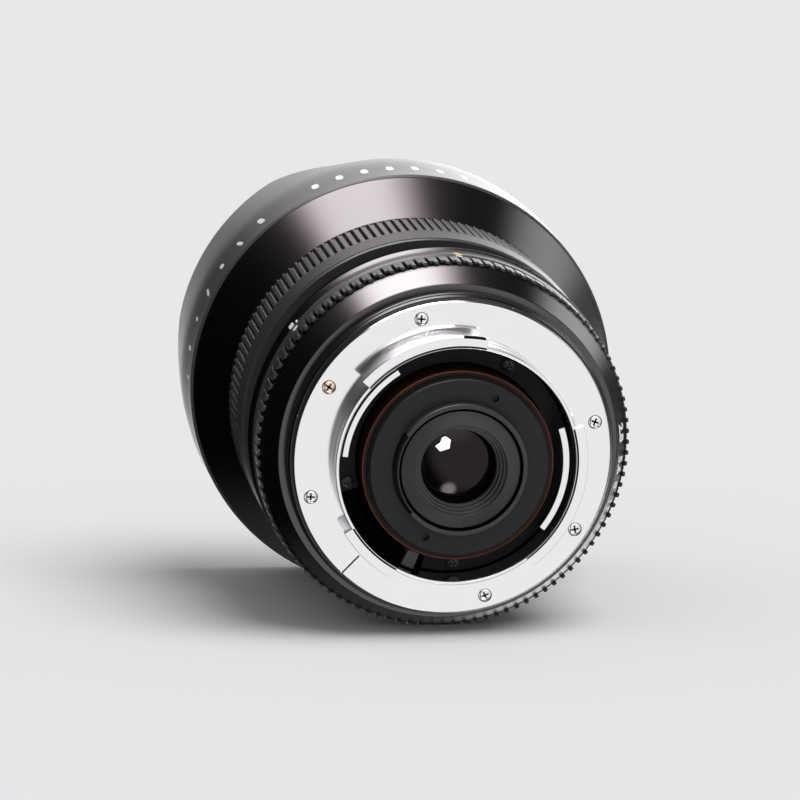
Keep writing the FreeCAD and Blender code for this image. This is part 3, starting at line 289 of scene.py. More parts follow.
def surface(name, colour, rough, metal=0.0, spread=0.04, grain=0.0, scale=2500.0, level=0.5,
            tint=(1, 1, 1), ior=1.5, mottle=0.0, specks=0.0, deep=None):
    """A solid finish: uneven roughness, a fine grain, faint mottling and a few dust specks.

    deep gives two distances from the axis: below the first the colour is painted shade, black with
    little reflection, and above the second it is full colour.
    """
    mat, nodes, link, shader = new_material(name)
    shader.inputs["Metallic"].default_value = metal
    shader.inputs["Specular IOR Level"].default_value = level
    shader.inputs["Specular Tint"].default_value = (*tint, 1)
    shader.inputs["IOR"].default_value = ior
    spot = nodes.new("ShaderNodeTexCoord")
    soft = nodes.new("ShaderNodeTexNoise")
    soft.inputs["Scale"].default_value = 90.0
    soft.inputs["Detail"].default_value = 3.0
    link(spot.outputs["Object"], soft.inputs["Vector"])
    uneven = nodes.new("ShaderNodeMapRange")
    uneven.inputs["To Min"].default_value = max(0.02, rough - spread)
    uneven.inputs["To Max"].default_value = rough + spread
    link(soft.outputs[0], uneven.inputs["Value"])
    link(uneven.outputs[0], shader.inputs["Roughness"])
    shade = nodes.new("ShaderNodeMix")
    shade.data_type = "RGBA"
    shade.inputs["A"].default_value = (*[c * (1 - mottle) for c in colour], 1)
    shade.inputs["B"].default_value = (*[min(1, c * (1 + mottle)) for c in colour], 1)
    link(soft.outputs[0], shade.inputs["Factor"])
    last = shade.outputs["Result"]
    if specks:
        dust = nodes.new("ShaderNodeTexVoronoi")
        dust.inputs["Scale"].default_value = 1100.0
        link(spot.outputs["Object"], dust.inputs["Vector"])
        dot = nodes.new("ShaderNodeMapRange")
        dot.inputs["From Min"].default_value = 0.13
        dot.inputs["From Max"].default_value = 0.06
        link(dust.outputs["Distance"], dot.inputs["Value"])
        axes = nodes.new("ShaderNodeSeparateXYZ")
        link(dust.outputs["Color"], axes.inputs[0])
        rare = nodes.new("ShaderNodeMapRange")
        rare.inputs["From Min"].default_value = 0.8
        rare.inputs["From Max"].default_value = 1.0
        rare.inputs["To Max"].default_value = specks
        link(axes.outputs[0], rare.inputs["Value"])
        mixed = nodes.new("ShaderNodeMix")
        mixed.data_type = "RGBA"
        mixed.inputs["B"].default_value = (0.7, 0.7, 0.7, 1)
        link(calc(nodes, link, "MULTIPLY", dot.outputs[0], rare.outputs[0]),
             mixed.inputs["Factor"])
        link(last, mixed.inputs["A"])
        last = mixed.outputs["Result"]
    # Painted shade: darker and less shiny close to the axis, at the foot of the grooves
    if deep:
        axes = nodes.new("ShaderNodeSeparateXYZ")
        link(spot.outputs["Object"], axes.inputs[0])
        flat = nodes.new("ShaderNodeCombineXYZ")
        link(axes.outputs["X"], flat.inputs["X"])
        link(axes.outputs["Z"], flat.inputs["Z"])
        away = nodes.new("ShaderNodeVectorMath")
        away.operation = "LENGTH"
        link(flat.outputs[0], away.inputs[0])
        high = nodes.new("ShaderNodeMapRange")
        high.interpolation_type = "SMOOTHSTEP"
        high.inputs["From Min"].default_value = deep[0] * MM
        high.inputs["From Max"].default_value = deep[1] * MM
        high.inputs["To Min"].default_value = 0.04
        link(away.outputs["Value"], high.inputs["Value"])
        groove_shade = nodes.new("ShaderNodeMix")
        groove_shade.data_type = "RGBA"
        groove_shade.inputs["A"].default_value = (0.0005, 0.0005, 0.0005, 1)
        link(high.outputs[0], groove_shade.inputs["Factor"])
        link(last, groove_shade.inputs["B"])
        last = groove_shade.outputs["Result"]
        link(calc(nodes, link, "MULTIPLY", high.outputs[0], level),
             shader.inputs["Specular IOR Level"])
    link(last, shader.inputs["Base Color"])
    if grain:
        fine = nodes.new("ShaderNodeTexNoise")
        fine.inputs["Scale"].default_value = scale
        fine.inputs["Detail"].default_value = 2.0
        link(spot.outputs["Object"], fine.inputs["Vector"])
        bump = nodes.new("ShaderNodeBump")
        bump.inputs["Strength"].default_value = grain
        bump.inputs["Distance"].default_value = 0.00004
        link(fine.outputs[0], bump.inputs["Height"])
        link(bump.outputs[0], shader.inputs["Normal"])
    return mat


def glass_material(name, colour):
    """Coated glass: see-through with a faint tint."""
    mat, *_, shader = new_material(name)
    shader.inputs["Base Color"].default_value = (*[c * 0.98 for c in colour], 1)
    shader.inputs["Transmission Weight"].default_value = 1.0
    shader.inputs["Roughness"].default_value = 0.0
    shader.inputs["IOR"].default_value = 1.5
    shader.inputs["Specular IOR Level"].default_value = 0.5
    shader.inputs["Specular Tint"].default_value = (*colour, 1)
    return mat


def lit_material(name, strength):
    """A face that only glows, in white: painted light, with no lamp behind it."""
    mat, *_, shader = new_material(name)
    shader.inputs["Base Color"].default_value = (0.0, 0.0, 0.0, 1)
    shader.inputs["Emission Color"].default_value = (1, 1, 1, 1)
    shader.inputs["Emission Strength"].default_value = strength
    return mat


PLATE = surface("bright_plate", (0.975, 0.975, 0.985), 0.12, metal=1.0, spread=0.03, mottle=0.006)
STRIP = surface("bright_strip", (0.96, 0.96, 0.965), 0.12, metal=1.0, spread=0.03)
BASE = surface("black_base", (0.002, 0.002, 0.002), 0.24, spread=0.03, specks=0.9, level=0.55)
SATIN = surface("satin_black", (0.0012, 0.0011, 0.0012), 0.23, spread=0.02, grain=0.05, level=1.0,
                tint=(1.0, 0.975, 0.982), ior=1.58, specks=0.12)
RING_GREY = surface("ring_grey", (0.045, 0.0435, 0.045), 0.32, spread=0.04, grain=0.1, level=0.32)
# The grooves between the teeth get painted shade through deep
TEETH = surface("tooth_grey", (0.034, 0.034, 0.035), 0.36, spread=0.05, grain=0.15,
                deep=(33.78, 34.2))
# Near black with little reflection: painted shade for the index ring deep in the gap between the
# rings
GAP_SHADE = surface("gap_painted_shade", (0.0005, 0.0005, 0.0005), 0.5, level=0.05, mottle=0.3)
# The grooves of the grip get painted shade through deep
RUBBER = surface("grip_rubber", (0.045, 0.043, 0.045), 0.42, spread=0.06, grain=0.25, mottle=0.12,
                 level=0.55, deep=(35.2, 35.75))
CONE = surface("cone_black", (0.001, 0.0009, 0.001), 0.25, spread=0.02, grain=0.05, level=0.73,
               tint=(1.0, 0.94, 0.955))
HOOD = surface("hood_grey", (0.052, 0.052, 0.054), 0.34, spread=0.04, grain=0.2, mottle=0.05,
               level=0.4)
HOOD_IN = surface("hood_inside", (0.012, 0.012, 0.013), 0.65, grain=0.2, level=0.3)
FLAT = surface("flat_black", (0.006, 0.006, 0.0065), 0.6, grain=0.15, level=0.25)
DISC = surface("disc_black", (0.014, 0.014, 0.0145), 0.5, spread=0.05, grain=0.2, mottle=0.1,
               level=0.3, specks=0.15)
LENS_RING = surface("lens_ring_grey", (0.03, 0.0295, 0.0305), 0.36, spread=0.05, grain=0.45,
                    scale=5000.0, mottle=0.15, specks=0.3, tint=(1.0, 0.95, 0.965))
COPPER = surface("copper_ring", (0.11, 0.042, 0.027), 0.34, metal=1.0, mottle=0.4, spread=0.1)
# The copper ring's faces in shadow, as painted shade
COPPER_PAINTED_SHADE = surface("copper_shade", (0.02, 0.006, 0.004), 0.5, mottle=0.4, level=0.2)
LEVER = surface("lever_grey", (0.075, 0.075, 0.078), 0.5, metal=0.2, spread=0.06, mottle=0.1,
                level=0.3)
STEEL = surface("screw_steel", (0.93, 0.93, 0.935), 0.2, metal=1.0, spread=0.05, mottle=0.03)
WARM = surface("screw_warm", (0.92, 0.72, 0.55), 0.22, metal=1.0, spread=0.05, mottle=0.05)
# Near black with no shine: painted shade, for recesses, grooves and the parts deep inside
SHADE_PAINT = surface("recess_painted_shade", (0.0015, 0.0015, 0.0015), 0.7, level=0.05, mottle=0.3)
DARK_SCREW = surface("screw_black", (0.015, 0.015, 0.015), 0.3, metal=0.3, spread=0.08)
BRASS = surface("brass", (0.6, 0.42, 0.17), 0.3, metal=1.0, mottle=0.08)
BLADE = surface("blade_black", (0.02, 0.02, 0.022), 0.38, metal=0.3, spread=0.05)
PRINT = surface("white_print", (0.86, 0.86, 0.86), 0.5, mottle=0.03)
AMBER = surface("yellow_print", (0.85, 0.6, 0.1), 0.5, mottle=0.05)
GLASS = glass_material("coated_glass", (0.93, 0.9, 0.94))
FRONT_GLASS = glass_material("front_glass", (0.9, 0.92, 0.97))
# Opaque near-black rear glass: painted shade for the dark inside of the lens seen through it; its
# reflections are real
REAR_GLASS_SHADE = surface("rear_glass", (0.0035, 0.003, 0.0035), 0.06, spread=0.01, mottle=0.4,
                     level=0.3, tint=(1.0, 0.86, 0.92))
# A glow painted on the rear glass in place of the light seen through the open iris
PAINTED_IRIS_GLOW = lit_material("iris_painted_glow", 1.5)
# Opaque near-black glass for inner elements: painted shade for the dark inside of the lens
GLASS_SHADE = surface("glass_painted_shade", (0.004, 0.0035, 0.004), 0.06, spread=0.01, mottle=0.3,
                     level=0.06, tint=(1.0, 0.8, 0.92))

BY_SLOT = {"mount_plate": PLATE, "bright_strip": STRIP, "black_base": BASE, "screw_steel": STEEL,
           "black_screw": DARK_SCREW, "barrel_black": SATIN, "cone_black": CONE,
           "hood_black": HOOD, "flat_black": FLAT, "grip_rubber": RUBBER, "brass": BRASS,
           "copper_ring": COPPER, "lever_grey": LEVER, "blade_black": BLADE,
           "coated_glass": GLASS}


def finish(obj, mat, body, slot, *nodes):
    """Give a piece its finish and hang it on its body in place of CAD nodes."""
    if mat is not None:
        obj.data.materials.clear()
        obj.data.materials.append(mat)
    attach(obj, body)
    if nodes:
        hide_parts(*nodes)
    return obj


def paint_by(obj, mats, choose):
    """Several finishes on one mesh: choose gives the number of the finish for a face."""
    for mat in mats:
        obj.data.materials.append(mat)
    for face in obj.data.polygons:
        face.material_index = choose(face)


def axis_distance(face):
    """Millimetres from the lens axis to the middle of a face."""
    return Vector((face.center.x, 0, face.center.z)).length / MM


# CAD nodes carried over: all get a finish, and a new piece later takes the place of most
# The housing and link deep in the recess get painted shade
PARTS_IN_SHADE = ("rear_housing", "aperture_link")
# These elements take the opaque glass with painted shade in place of clear glass
SHADE_PAINTED_ELEMENTS = ("eleventh_element", "twelfth_element")
CAD_EDGE = 30  # degrees
slots = {p["node"]: p["material_slot"] for p in frame["record"]["subparts"]}
for name, node in frame["nodes"].items():
    node.data.materials.clear()
    mat = GLASS_SHADE if name in SHADE_PAINTED_ELEMENTS else BY_SLOT[slots[name]]
    node.data.materials.append(SHADE_PAINT if name in PARTS_IN_SHADE else mat)
    node.data.polygons.foreach_set("use_smooth", [True] * len(node.data.polygons))
    node.data.set_sharp_from_angle(angle=math.radians(CAD_EDGE))


# Mount flange: plate and collar turned, three lugs, countersinks and the lock slot
SCREWS = ((15, 19), (105, 3), (150, 33), (195, 3), (285, -25), (330, -12))  # clock angle, turn
SCREW_CIRCLE = 26.5
WARM_SCREW = 150
LUG_SPANS = ((-52.5, 18), (211.5, 241), (79, 139))
LOCK_ANGLE = 227
plate = lathe("plate", [(21.25, -4.9), (21.42, -5.1), (21.88, -5.1), (22.0, -4.98), (22.0, -4.5),
                        (21.7, -4.46), (21.7, -4.12), (22.0, -4.1), (22.0, -3.8), (21.7, -3.76),
                        (21.7, -3.44), (22.0, -3.4), (22.0, 0.0, 0.05), (28.7, 0.0),
                        (28.9, 0.2), (28.9, 1.5), (21.25, 1.5)])
lugs = [lathe("lug", [(21.5, -5.1, 0), (23.5, -5.1), (23.5, -3.5), (21.5, -3.5, 0)],
              steps=int((high - low) * 1.5), span=(low, high)) for low, high in LUG_SPANS]
tools = [disc_tool("sink", [(1.27, -0.3), (1.26, 0.25), (0.85, 0.78), (0.85, 2.0)],
                   polar(SCREW_CIRCLE, angle, 0)) for angle, _ in SCREWS]
tools.append(box_at("slot", 24.3, 30.0, 0.22, -0.5, 0.5, LOCK_ANGLE))
carve(plate, tools)
flange = join("mount_plate", [plate] + lugs)
finish(flange, PLATE, "barrel", "mount_plate", "mount_flange")

# A thin black arc on the lug's rear face: a painted shadow line at the lug's edge
edge = lathe("lug_edge_shadow_line", [(23.2, -5.12, 0), (23.52, -5.12, 0), (23.52, -3.9, 0),
                               (23.2, -3.9, 0)], steps=12, span=(80.3, 90.0))
finish(edge, SHADE_PAINT, "barrel", "mount_plate")

base = lathe("base_ring", [(22.02, 1.52), (29.36, 1.52, 0.02), (29.6, 1.95, 0.04),
                           (29.64, 2.28, 0.01), (29.76, 2.3, 0.01), (29.9, 2.52, 0.01),
                           (29.9, 4.2), (22.02, 4.2)])
finish(base, BASE, "barrel", "black_base", "mount_base")


# Cross-recess screws
def screw(name, head_r, thickness, low, dome):
    """A screw head facing -y with a cross recess, at the origin, top at y = low."""
    rim = low + 0.06
    stations = [(0.001, low - dome), (head_r * 0.55, low - dome * 0.75), (head_r - 0.1, low),
                (head_r, rim), (head_r * 0.62, low + thickness),
                (head_r * 0.6, low + thickness + 1)]
    body = disc_tool(name, stations, (0, 0, 0), steps=48)
    bars = []
    for turn in (0, 90):
        wide, reach, deep = 0.17, head_r * 0.6, 0.4
        verts = []
        for y, grow in ((low - dome - 0.2, 1.12), (low + deep, 0.6)):
            for x, z in ((-reach, -wide), (reach, -wide), (reach, wide), (-reach, wide)):
                x, z = x * grow, z * grow
                verts.append((x, y, z) if turn == 0 else (-z, y, x))
        faces = [(0, 1, 2, 3), (4, 7, 6, 5), (0, 4, 5, 1), (1, 5, 6, 2), (2, 6, 7, 3), (3, 7, 4, 0)]
        bars.append(mesh_of("bar", verts, faces, smooth=False))
    return carve(body, bars, sharp=28)


def moved(obj, vector, spin=0.0):
    """Turn a mesh about y by spin degrees, then shift it, in millimetres."""
    shift = Matrix.Translation(Vector(vector) * MM)
    obj.data.transform(shift @ Matrix.Rotation(math.radians(spin), 4, "Y"))
    return obj


def cross(name, reach, wide, y0, y1):
    """A cross-shaped block between two heights, at the origin."""
    ring = []
    for k in range(4):
        turn = math.radians(90 * k)
        for x, z in ((wide, wide), (reach, wide), (reach + 0.05, 0), (reach, -wide)):
            ring.append((x * math.cos(turn) + z * math.sin(turn),
                         -x * math.sin(turn) + z * math.cos(turn)))
    return prism(name, *[[(x, y, z) for x, z in ring] for y in (y0, y1)])


# Each screw also gets a black cross in its cut recess and a black ring in the countersink gap:
# painted shade
steel, warm, dark = [], [], []
for angle, spin in SCREWS:
    place = polar(SCREW_CIRCLE, angle, 0.0)
    head = moved(screw("head", 1.13, 0.5, 0.0, 0.05), polar(SCREW_CIRCLE, angle, 0.06), spin=spin)
    (warm if angle == WARM_SCREW else steel).append(head)
    dark.append(moved(cross("cross", 0.78, 0.17, 0.03, 0.3), place, spin=spin))
    dark.append(disc_tool("sink_shade", [(1.24, 0.16), (1.2, 0.22)], place))
finish(join("mount_heads", steel), STEEL, "barrel", "screw_steel", "mount_screws")
finish(join("mount_head_warm", warm), WARM, "barrel", "screw_steel")
finish(join("mount_head_recess_shade", dark), SHADE_PAINT, "barrel", "screw_steel")


def bow(start, bend, end, steps=10):
    """Points between two corners on a curve that leans towards bend."""
    out = []
    for i in range(1, steps):
        t = i / steps
        out.append(tuple((1 - t) ** 2 * a + 2 * t * (1 - t) * b + t * t * c
                         for a, b, c in zip(start, bend, end)) + (0,))
    return out


# Aperture ring: turned body and teeth
TEETH_COUNT = 104
RING_ROOT, BAND = 33.75, 34.46  # radius at the foot of the teeth, and of the band before them
TAPER_END, BAND_START, BAND_END = 8.28, 13.66, 16.3
ring = lathe("ring_body", [(28.15, 4.5), (31.05, 4.5), (31.2, 4.62, 0.1), (33.5, TAPER_END, 0.1),
                           (RING_ROOT, 8.45, 0), (33.2, 8.5, 0), (33.2, 13.62, 0),
                           (BAND, BAND_START, 0), (34.53, BAND_END, 0)]
             + bow((34.53, BAND_END), (34.6, 17.8), (35.2, 19.0))
             + [(35.2, 19.05, 0.3), (34.72, 20.5, 0.1), (28.15, 20.5), (28.15, 18.1), (30.8, 17.9),
                (30.8, 7.1), (28.15, 6.9)])
paint_by(ring, (SATIN, RING_GREY, CONE),
         lambda face: 0 if face.center.y / MM < 13.64 else 1 if face.center.y / MM < 16.5 else 2)
finish(ring, None, "aperture_ring", "barrel_black", "aperture_ring")


def ramp(x, low, high):
    """0 below low, 1 above high, smooth between."""
    t = min(1.0, max(0.0, (x - low) / (high - low)))
    return t * t * (3 - 2 * t)


def edges_at(places, half):
    """Sample places: five across each edge."""
    found = set()
    for place in places:
        for k in (-1, -0.5, 0, 0.5, 1):
            found.add(round(place + k * half, 6))
    return found


TOOTH_EDGES, TOOTH_SOFT = (0.22, 0.66, 0.98), 0.035


def tooth(share, y):
    """Groove, long bar and short bar, in the order of increasing clock angle."""
    u = share % 1.0
    start, middle, end = [ramp(u, at - TOOTH_SOFT, at + TOOTH_SOFT) for at in TOOTH_EDGES]
    bar, short = start - middle, middle - end
    round_off = 0.2 * (2 * (u - 0.44) / 0.44) ** 4 * (1 - ramp(y, 9.6, 11.0))
    bar_high = (BAND - RING_ROOT - round_off) * ramp(y, 8.62, 8.8)
    short_high = (BAND - RING_ROOT - 0.05 * (1 - ramp(y, 12.6, 13.2))) * ramp(y, 10.2, 10.36)
    rest_high = (BAND - RING_ROOT) * ramp(y, 13.3, 13.55)
    return RING_ROOT + bar * bar_high + short * short_high + (1 - bar - short) * rest_high


def one_pitch(found, start):
    """Sample shares over the pitch that begins at start."""
    return [start] + sorted(u for u in found if start < u < start + 1) + [start + 1]


shares = one_pitch(edges_at(TOOTH_EDGES, TOOTH_SOFT) | {0.12, 0.33, 0.44, 0.55, 0.8}, 0.02)
heights = sorted(edges_at((8.71,), 0.09) | edges_at((10.28,), 0.08) | edges_at((13.425,), 0.125)
                 | {8.45, 9.4, 11.3, 12.3, 12.9, 13.05, 13.2, 13.62, 13.66})
teeth = field("teeth", shares, heights, tooth, 360 / TEETH_COUNT)
copies(teeth, TEETH_COUNT, 360 / TEETH_COUNT, 0, TEETH)
teeth.data.set_sharp_from_angle(angle=math.radians(38))
finish(teeth, None, "aperture_ring", "barrel_black")

# The index ring in the gap, then the focus ring and its ribbed grip
# The index ring takes painted shade, as it sits in the shadow between the rings
gap = lathe("gap_ring", [(31.42, 20.8), (33.2, 20.8), (33.4, 21.0), (33.4, 24.4), (33.1, 24.5),
                         (33.1, 25.0), (33.4, 25.1), (33.4, 28.2), (33.2, 28.4), (31.42, 28.4)])
finish(gap, GAP_SHADE, "barrel", "barrel_black", "index_ring")
focus = lathe("focus_body", [(31.45, 28.8), (34.86, 28.8, 0.02), (35.1, 29.18, 0.05),
                             (35.1, 29.4, 0.02), (35.0, 29.45, 0.02), (35.0, 29.6, 0.02),
                             (35.2, 29.66, 0.03), (35.78, 34.1, 0.01), (34.5, 34.1), (34.5, 46.8),
                             (31.45, 46.8)])
finish(focus, RING_GREY, "focus_ring", "barrel_black", "focus_ring")
RIB_COUNT, RIB_SOFT = 140, 0.07


def rib(share, y):
    """A rib of the grip with its groove and the notched foot at the front."""
    u = share % 1.0
    top = 35.8 + (36.2 - 35.8) * (y - 34.1) / 12.7
    groove = 1 - ramp(abs(u - 0.5), 0.15 - RIB_SOFT, 0.15 + RIB_SOFT)
    along = ramp(y, 34.7, 35.1)
    foot = ramp(y, 45.45, 45.6) * (1 - ramp(abs(u - 0.66), 0.3 - RIB_SOFT, 0.3 + RIB_SOFT))
    ends = 1 - ramp(y, 46.7, 46.78) * 0.25
    dip = max(groove * along, foot)
    return top * (ends * 0.004 + 0.996) - 0.75 * dip


rib_shares = one_pitch(edges_at((0.35, 0.65, 0.96), RIB_SOFT) | {0.0, 0.18, 0.5, 0.8}, 0.03)
rib_places = sorted(edges_at((34.9,), 0.2) | edges_at((45.52,), 0.08)
                    | {34.11, 34.2, 34.5, 36.5, 39.0, 41.5, 44.0, 46.1, 46.7, 46.74, 46.78})
ribs = field("grip_ribs", rib_shares, rib_places, rib, 360 / RIB_COUNT)
copies(ribs, RIB_COUNT, 360 / RIB_COUNT, 0, RUBBER)
sleeve = lathe("grip_sleeve", [(34.52, 34.12, 0.02), (35.76, 34.12, 0.02), (35.7, 34.3, 0),
                               (34.9, 34.7, 0), (35.0, 46.6, 0), (36.1, 46.78, 0.02),
                               (34.52, 46.78, 0.02)])
finish(join("rubber_grip", [ribs, sleeve]), RUBBER, "focus_ring", "grip_rubber", "focus_grip")

# Flared barrel
flare = lathe("flared_barrel", [(31.42, 47.1), (36.05, 47.1), (36.2, 47.25, 0.1),
                                (42.28, 58.3, 0.1), (42.3, 58.5, 0.03), (40.9, 58.5, 0.03),
                                (40.9, 61.5), (38.9, 61.5), (34.4, 51.3), (34.4, 49.3),
                                (31.42, 49.3)])
finish(flare, CONE, "barrel", "cone_black", "front_barrel")


# Hood: the rim's height changes round the clock
TALL_PETAL = 147
RIM_FOOT, RIM_TOP = 78.0, 93.0


def rim_place(radius, degrees):
    """y of the hood's rim: two tall petals half a turn apart, short ones between."""
    # t is the distance from the plane midway between the tall petals; the rim climbs from low
    # to high, and bend is the curve at the foot of the climb
    t = abs(radius * math.cos(math.radians(degrees - TALL_PETAL)))
    low, high, bend = 32.3, 39.7, 5.0
    slope = (RIM_TOP - RIM_FOOT) / (high - low)
    lean = math.atan(slope)
    back = bend * math.tan(lean / 2)
    if t < low - back:
        return RIM_FOOT
    if t < low + back * math.cos(lean):
        return RIM_FOOT + bend - math.sqrt(max(0.0, bend * bend - (t - low + back) ** 2))
    return min(RIM_TOP, RIM_FOOT + (t - low) * slope)


def hood_section(degrees):
    """The hood's outline at a clock angle; tall petals lean in a little."""
    outer, inner = rim_place(43.4, degrees), rim_place(41.9, degrees)
    rim_r = 43.5 - 0.2 * (outer - RIM_FOOT) / (RIM_TOP - RIM_FOOT)
    return [(40.92, 58.52, 0.03), (42.4, 58.52, 0.02), (42.83, 58.95, 0.1), (43.1, 65.0, 0),
            (43.5, 70.5, 0), (43.5, 77.4, 0), (rim_r, outer, 0.18, 4),
            (rim_r - 1.5, inner, 0.18, 4), (41.9, 72.0, 0), (41.6, 63.22, 0.4, 4),
            (34.4, 63.22), (34.4, 61.52), (40.92, 61.52, 0.05)]


hood = lathe("petal_hood_shell", hood_section, steps=540, sharp=50)


def hood_side(face):
    """1 for the inner wall and the floor of the hood, 0 for the rest."""
    away = Vector((face.center.x, 0, face.center.z)).normalized()
    inward = face.normal.dot(away) < -0.3
    floor_face = abs(face.normal.y) > 0.7 and 60 < face.center.y / MM < 64
    return 1 if inward or floor_face else 0


paint_by(hood, (HOOD, HOOD_IN), hood_side)
finish(hood, None, "barrel", "hood_black", "petal_hood")


# Printed marks that follow the hood and the ring, and plain aperture numbers. Their angles count
# from the left, so 180 less the angle is the clock angle.
def hood_radius(y):
    """The hood's outside near its rear end."""
    return 43.1 + (y - 65.0) * (0.4 / 5.5 if y > 65 else 0.045)


def bar(name, radius_at, degrees, y, wide, high, lean=0.0, round_by=0.35, lift=0.015):
    """A mark with rounded ends laid on a turned surface; wide goes round, high goes along y."""
    verts, faces, across, along = [], [], 6, 10
    for k in range(along + 1):
        v = high * (k / along - 0.5)
        cut = 1 - round_by * abs(2 * k / along - 1) ** 4
        for i in range(across + 1):
            s = wide * cut * (i / across - 0.5) + lean * v
            r = radius_at(y + v) + lift
            verts.append(polar(r, degrees + math.degrees(s / r), y + v))
    for k in range(along):
        for i in range(across):
            a = k * (across + 1) + i
            faces.append((a, a + 1, a + across + 2, a + across + 1))
    return mesh_of(name, verts, faces)


dash = bar("hood_dash", hood_radius, 0, 65.6, 1.5, 3.6, round_by=0.6)
copies(dash, 7, -6.85, 180 - 65.2, PRINT)
finish(dash, None, "barrel", "hood_black")
SMALL_DASHES = ((48.1, 65.5, 1.3, 3.8, 0.15), (40.0, 64.5, 0.9, 4.0, 0.2),
                (32.2, 65.0, 1.1, 2.6, 0.1), (24.4, 64.0, 0.8, 4.0, -0.1),
                (16.6, 64.5, 0.8, 2.2, 0.0), (8.5, 64.5, 0.9, 3.0, 0.0),
                (1.0, 63.0, 0.6, 3.0, 0.0))  # angle, y, width, length, lean
small = [bar("small", hood_radius, 180 - angle, y, wide, high, lean, 0.5)
         for angle, y, wide, high, lean in SMALL_DASHES]
finish(join("hood_small_dashes", small), PRINT, "barrel", "hood_black")


def band_radius(y):
    """The band and shoulder of the aperture ring."""
    past = max(0.0, y - BAND_END)
    return BAND + (min(y, BAND_END) - BAND_START) * 0.0265 + 0.05 * past + 0.0734 * past ** 2


dots = [bar("dot", band_radius, 180 - 36.6, 17.35, 1.25, 1.5),
        bar("dot", band_radius, 180 - 37.2, 14.6, 1.25, 1.4),
        bar("dot", band_radius, 180 - 38.8, 16.9, 0.5, 1.1),
        bar("dot", band_radius, 180 - 93.5, 14.4, 1.1, 0.9, 0.4)]
finish(join("ring_marks", dots), PRINT, "aperture_ring", "barrel_black")
amber = bar("ring_amber", band_radius, 180 - 93.6, 16.2, 1.1, 1.5, 0.5)
finish(amber, AMBER, "aperture_ring", "barrel_black")
TAPER_START, TAPER_SLOPE = (31.2, 4.62), 2.3 / 3.66


def number(text, degrees, y, height):
    """A plain number laid on the taper behind the teeth, read from behind."""
    curve = bpy.data.curves.new("number", "FONT")
    curve.body = text
    curve.align_x = "CENTER"
    curve.align_y = "CENTER"
    curve.size = height
    curve.offset = 0.05 * height
    obj = bpy.data.objects.new("number", curve)
    bpy.context.scene.collection.objects.link(obj)
    view = bpy.context.evaluated_depsgraph_get()
    mesh = bpy.data.meshes.new_from_object(obj.evaluated_get(view))
    bpy.data.objects.remove(obj, do_unlink=True)
    piece = bpy.data.objects.new("number", mesh)
    bpy.context.scene.collection.objects.link(piece)
    for v in mesh.vertices:
        along = y + v.co.y * 0.85
        r = TAPER_START[0] + (along - TAPER_START[1]) * TAPER_SLOPE + 0.02
        v.co = Vector(polar(r, degrees - math.degrees(v.co.x / r), along)) * MM
    return piece


scale = [number(text, 180 - angle, 6.5, 2.8)
         for text, angle in (("2.8", 174.3), ("5.6", 185.1), ("8", 192.0), ("11", 198.9),
                             ("16", 205.8), ("22", 213.3))]
finish(join("aperture_numbers", scale), PRINT, "aperture_ring", "barrel_black")

# The recess: black plate, its screws, guard strips
RECESS_SCREWS, RECESS_CIRCLE = (62, 192.5, 272), 19.5
recess = lathe("recess_plate", [(17.7, 0.6), (21.0, 0.6), (21.0, 1.4), (17.7, 1.4)], steps=330,
               span=(-104, 197))
carve(recess, [disc_tool("hole", [(0.85, 0.0), (0.85, 2.0)], polar(RECESS_CIRCLE, a, 0))
               for a in RECESS_SCREWS])
finish(recess, FLAT, "barrel", "flat_black", "recess_baffle")
dark = [moved(screw("dark", 1.12, 0.6, -0.1, 0.12), polar(RECESS_CIRCLE, angle, 0), spin=-angle)
        for angle in RECESS_SCREWS]
finish(join("recess_heads", dark), DARK_SCREW, "barrel", "black_screw", "baffle_screws")
long_strip = lathe("long_strip", [(19.0, -4.8), (20.15, -4.8), (20.15, 0.6), (19.0, 0.6)],
                   steps=90, span=(-36.5, 20.5))
finish(long_strip, STRIP, "barrel", "bright_strip", "guard_strip_long")
short_strip = lathe("short_strip", [(19.9, -4.8), (20.9, -4.8), (20.9, 0.6), (19.9, 0.6)],
                    steps=80, span=(123.5, 175))
finish(short_strip, STRIP, "barrel", "bright_strip", "guard_strip_short")

# Rear of the optical block: copper-coloured ring, disc with two holes, ring round the glass
copper = lathe("copper_ring_turned", [(16.42, -4.5), (17.02, -4.5, 0.02), (17.05, -4.6, 0.01),
                                      (17.26, -4.6), (17.32, -4.5), (17.32, 2.0), (16.42, 2.0)])
# Only the thin rear lip keeps the copper colour; the inner faces are painted shade
paint_by(copper, (COPPER, COPPER_PAINTED_SHADE),
         lambda face: 0 if axis_distance(face) > 17.03 and face.center.y / MM < -4.4 else 1)
finish(copper, None, "optical_block", "copper_ring", "brass_ring")
disc = lathe("rear_disc_turned", [(12.02, -6.0), (15.9, -6.0), (16.1, -5.8), (16.1, -5.0),
                                  (12.02, -5.0)])
carve(disc, [disc_tool("hole", [(0.72, -7), (0.72, -5.2)], polar(13.9, a, 0))
             for a in (65, 246)])
finish(disc, DISC, "optical_block", "barrel_black", "rear_disc")


def lens_ring(degrees):
    """The ring round the rear glass; its edge is cut back over a part at the left."""
    left = (360 - degrees) % 360 - 180
    outer = 12.0 - 0.55 * (ramp(left, -42.6, -42.0) - ramp(left, 32.4, 33.0))
    return [(7.2, -3.6), (8.78, -3.6), (8.78, -5.0), (outer, -5.0), (outer, -7.78, 0.06),
            (outer - 0.12, -7.9, 0.03), (11.15, -7.9, 0.05), (11.1, -6.5, 0.02),
            (10.7, -6.5, 0.02), (10.66, -7.3, 0.05), (8.25, -7.9, 0.08), (8.15, -7.2),
            (7.75, -7.15), (7.7, -6.4), (7.25, -6.35), (7.2, -5.6), (6.85, -5.55),
            (6.8, -4.8, 0.03), (7.1, -4.7)]


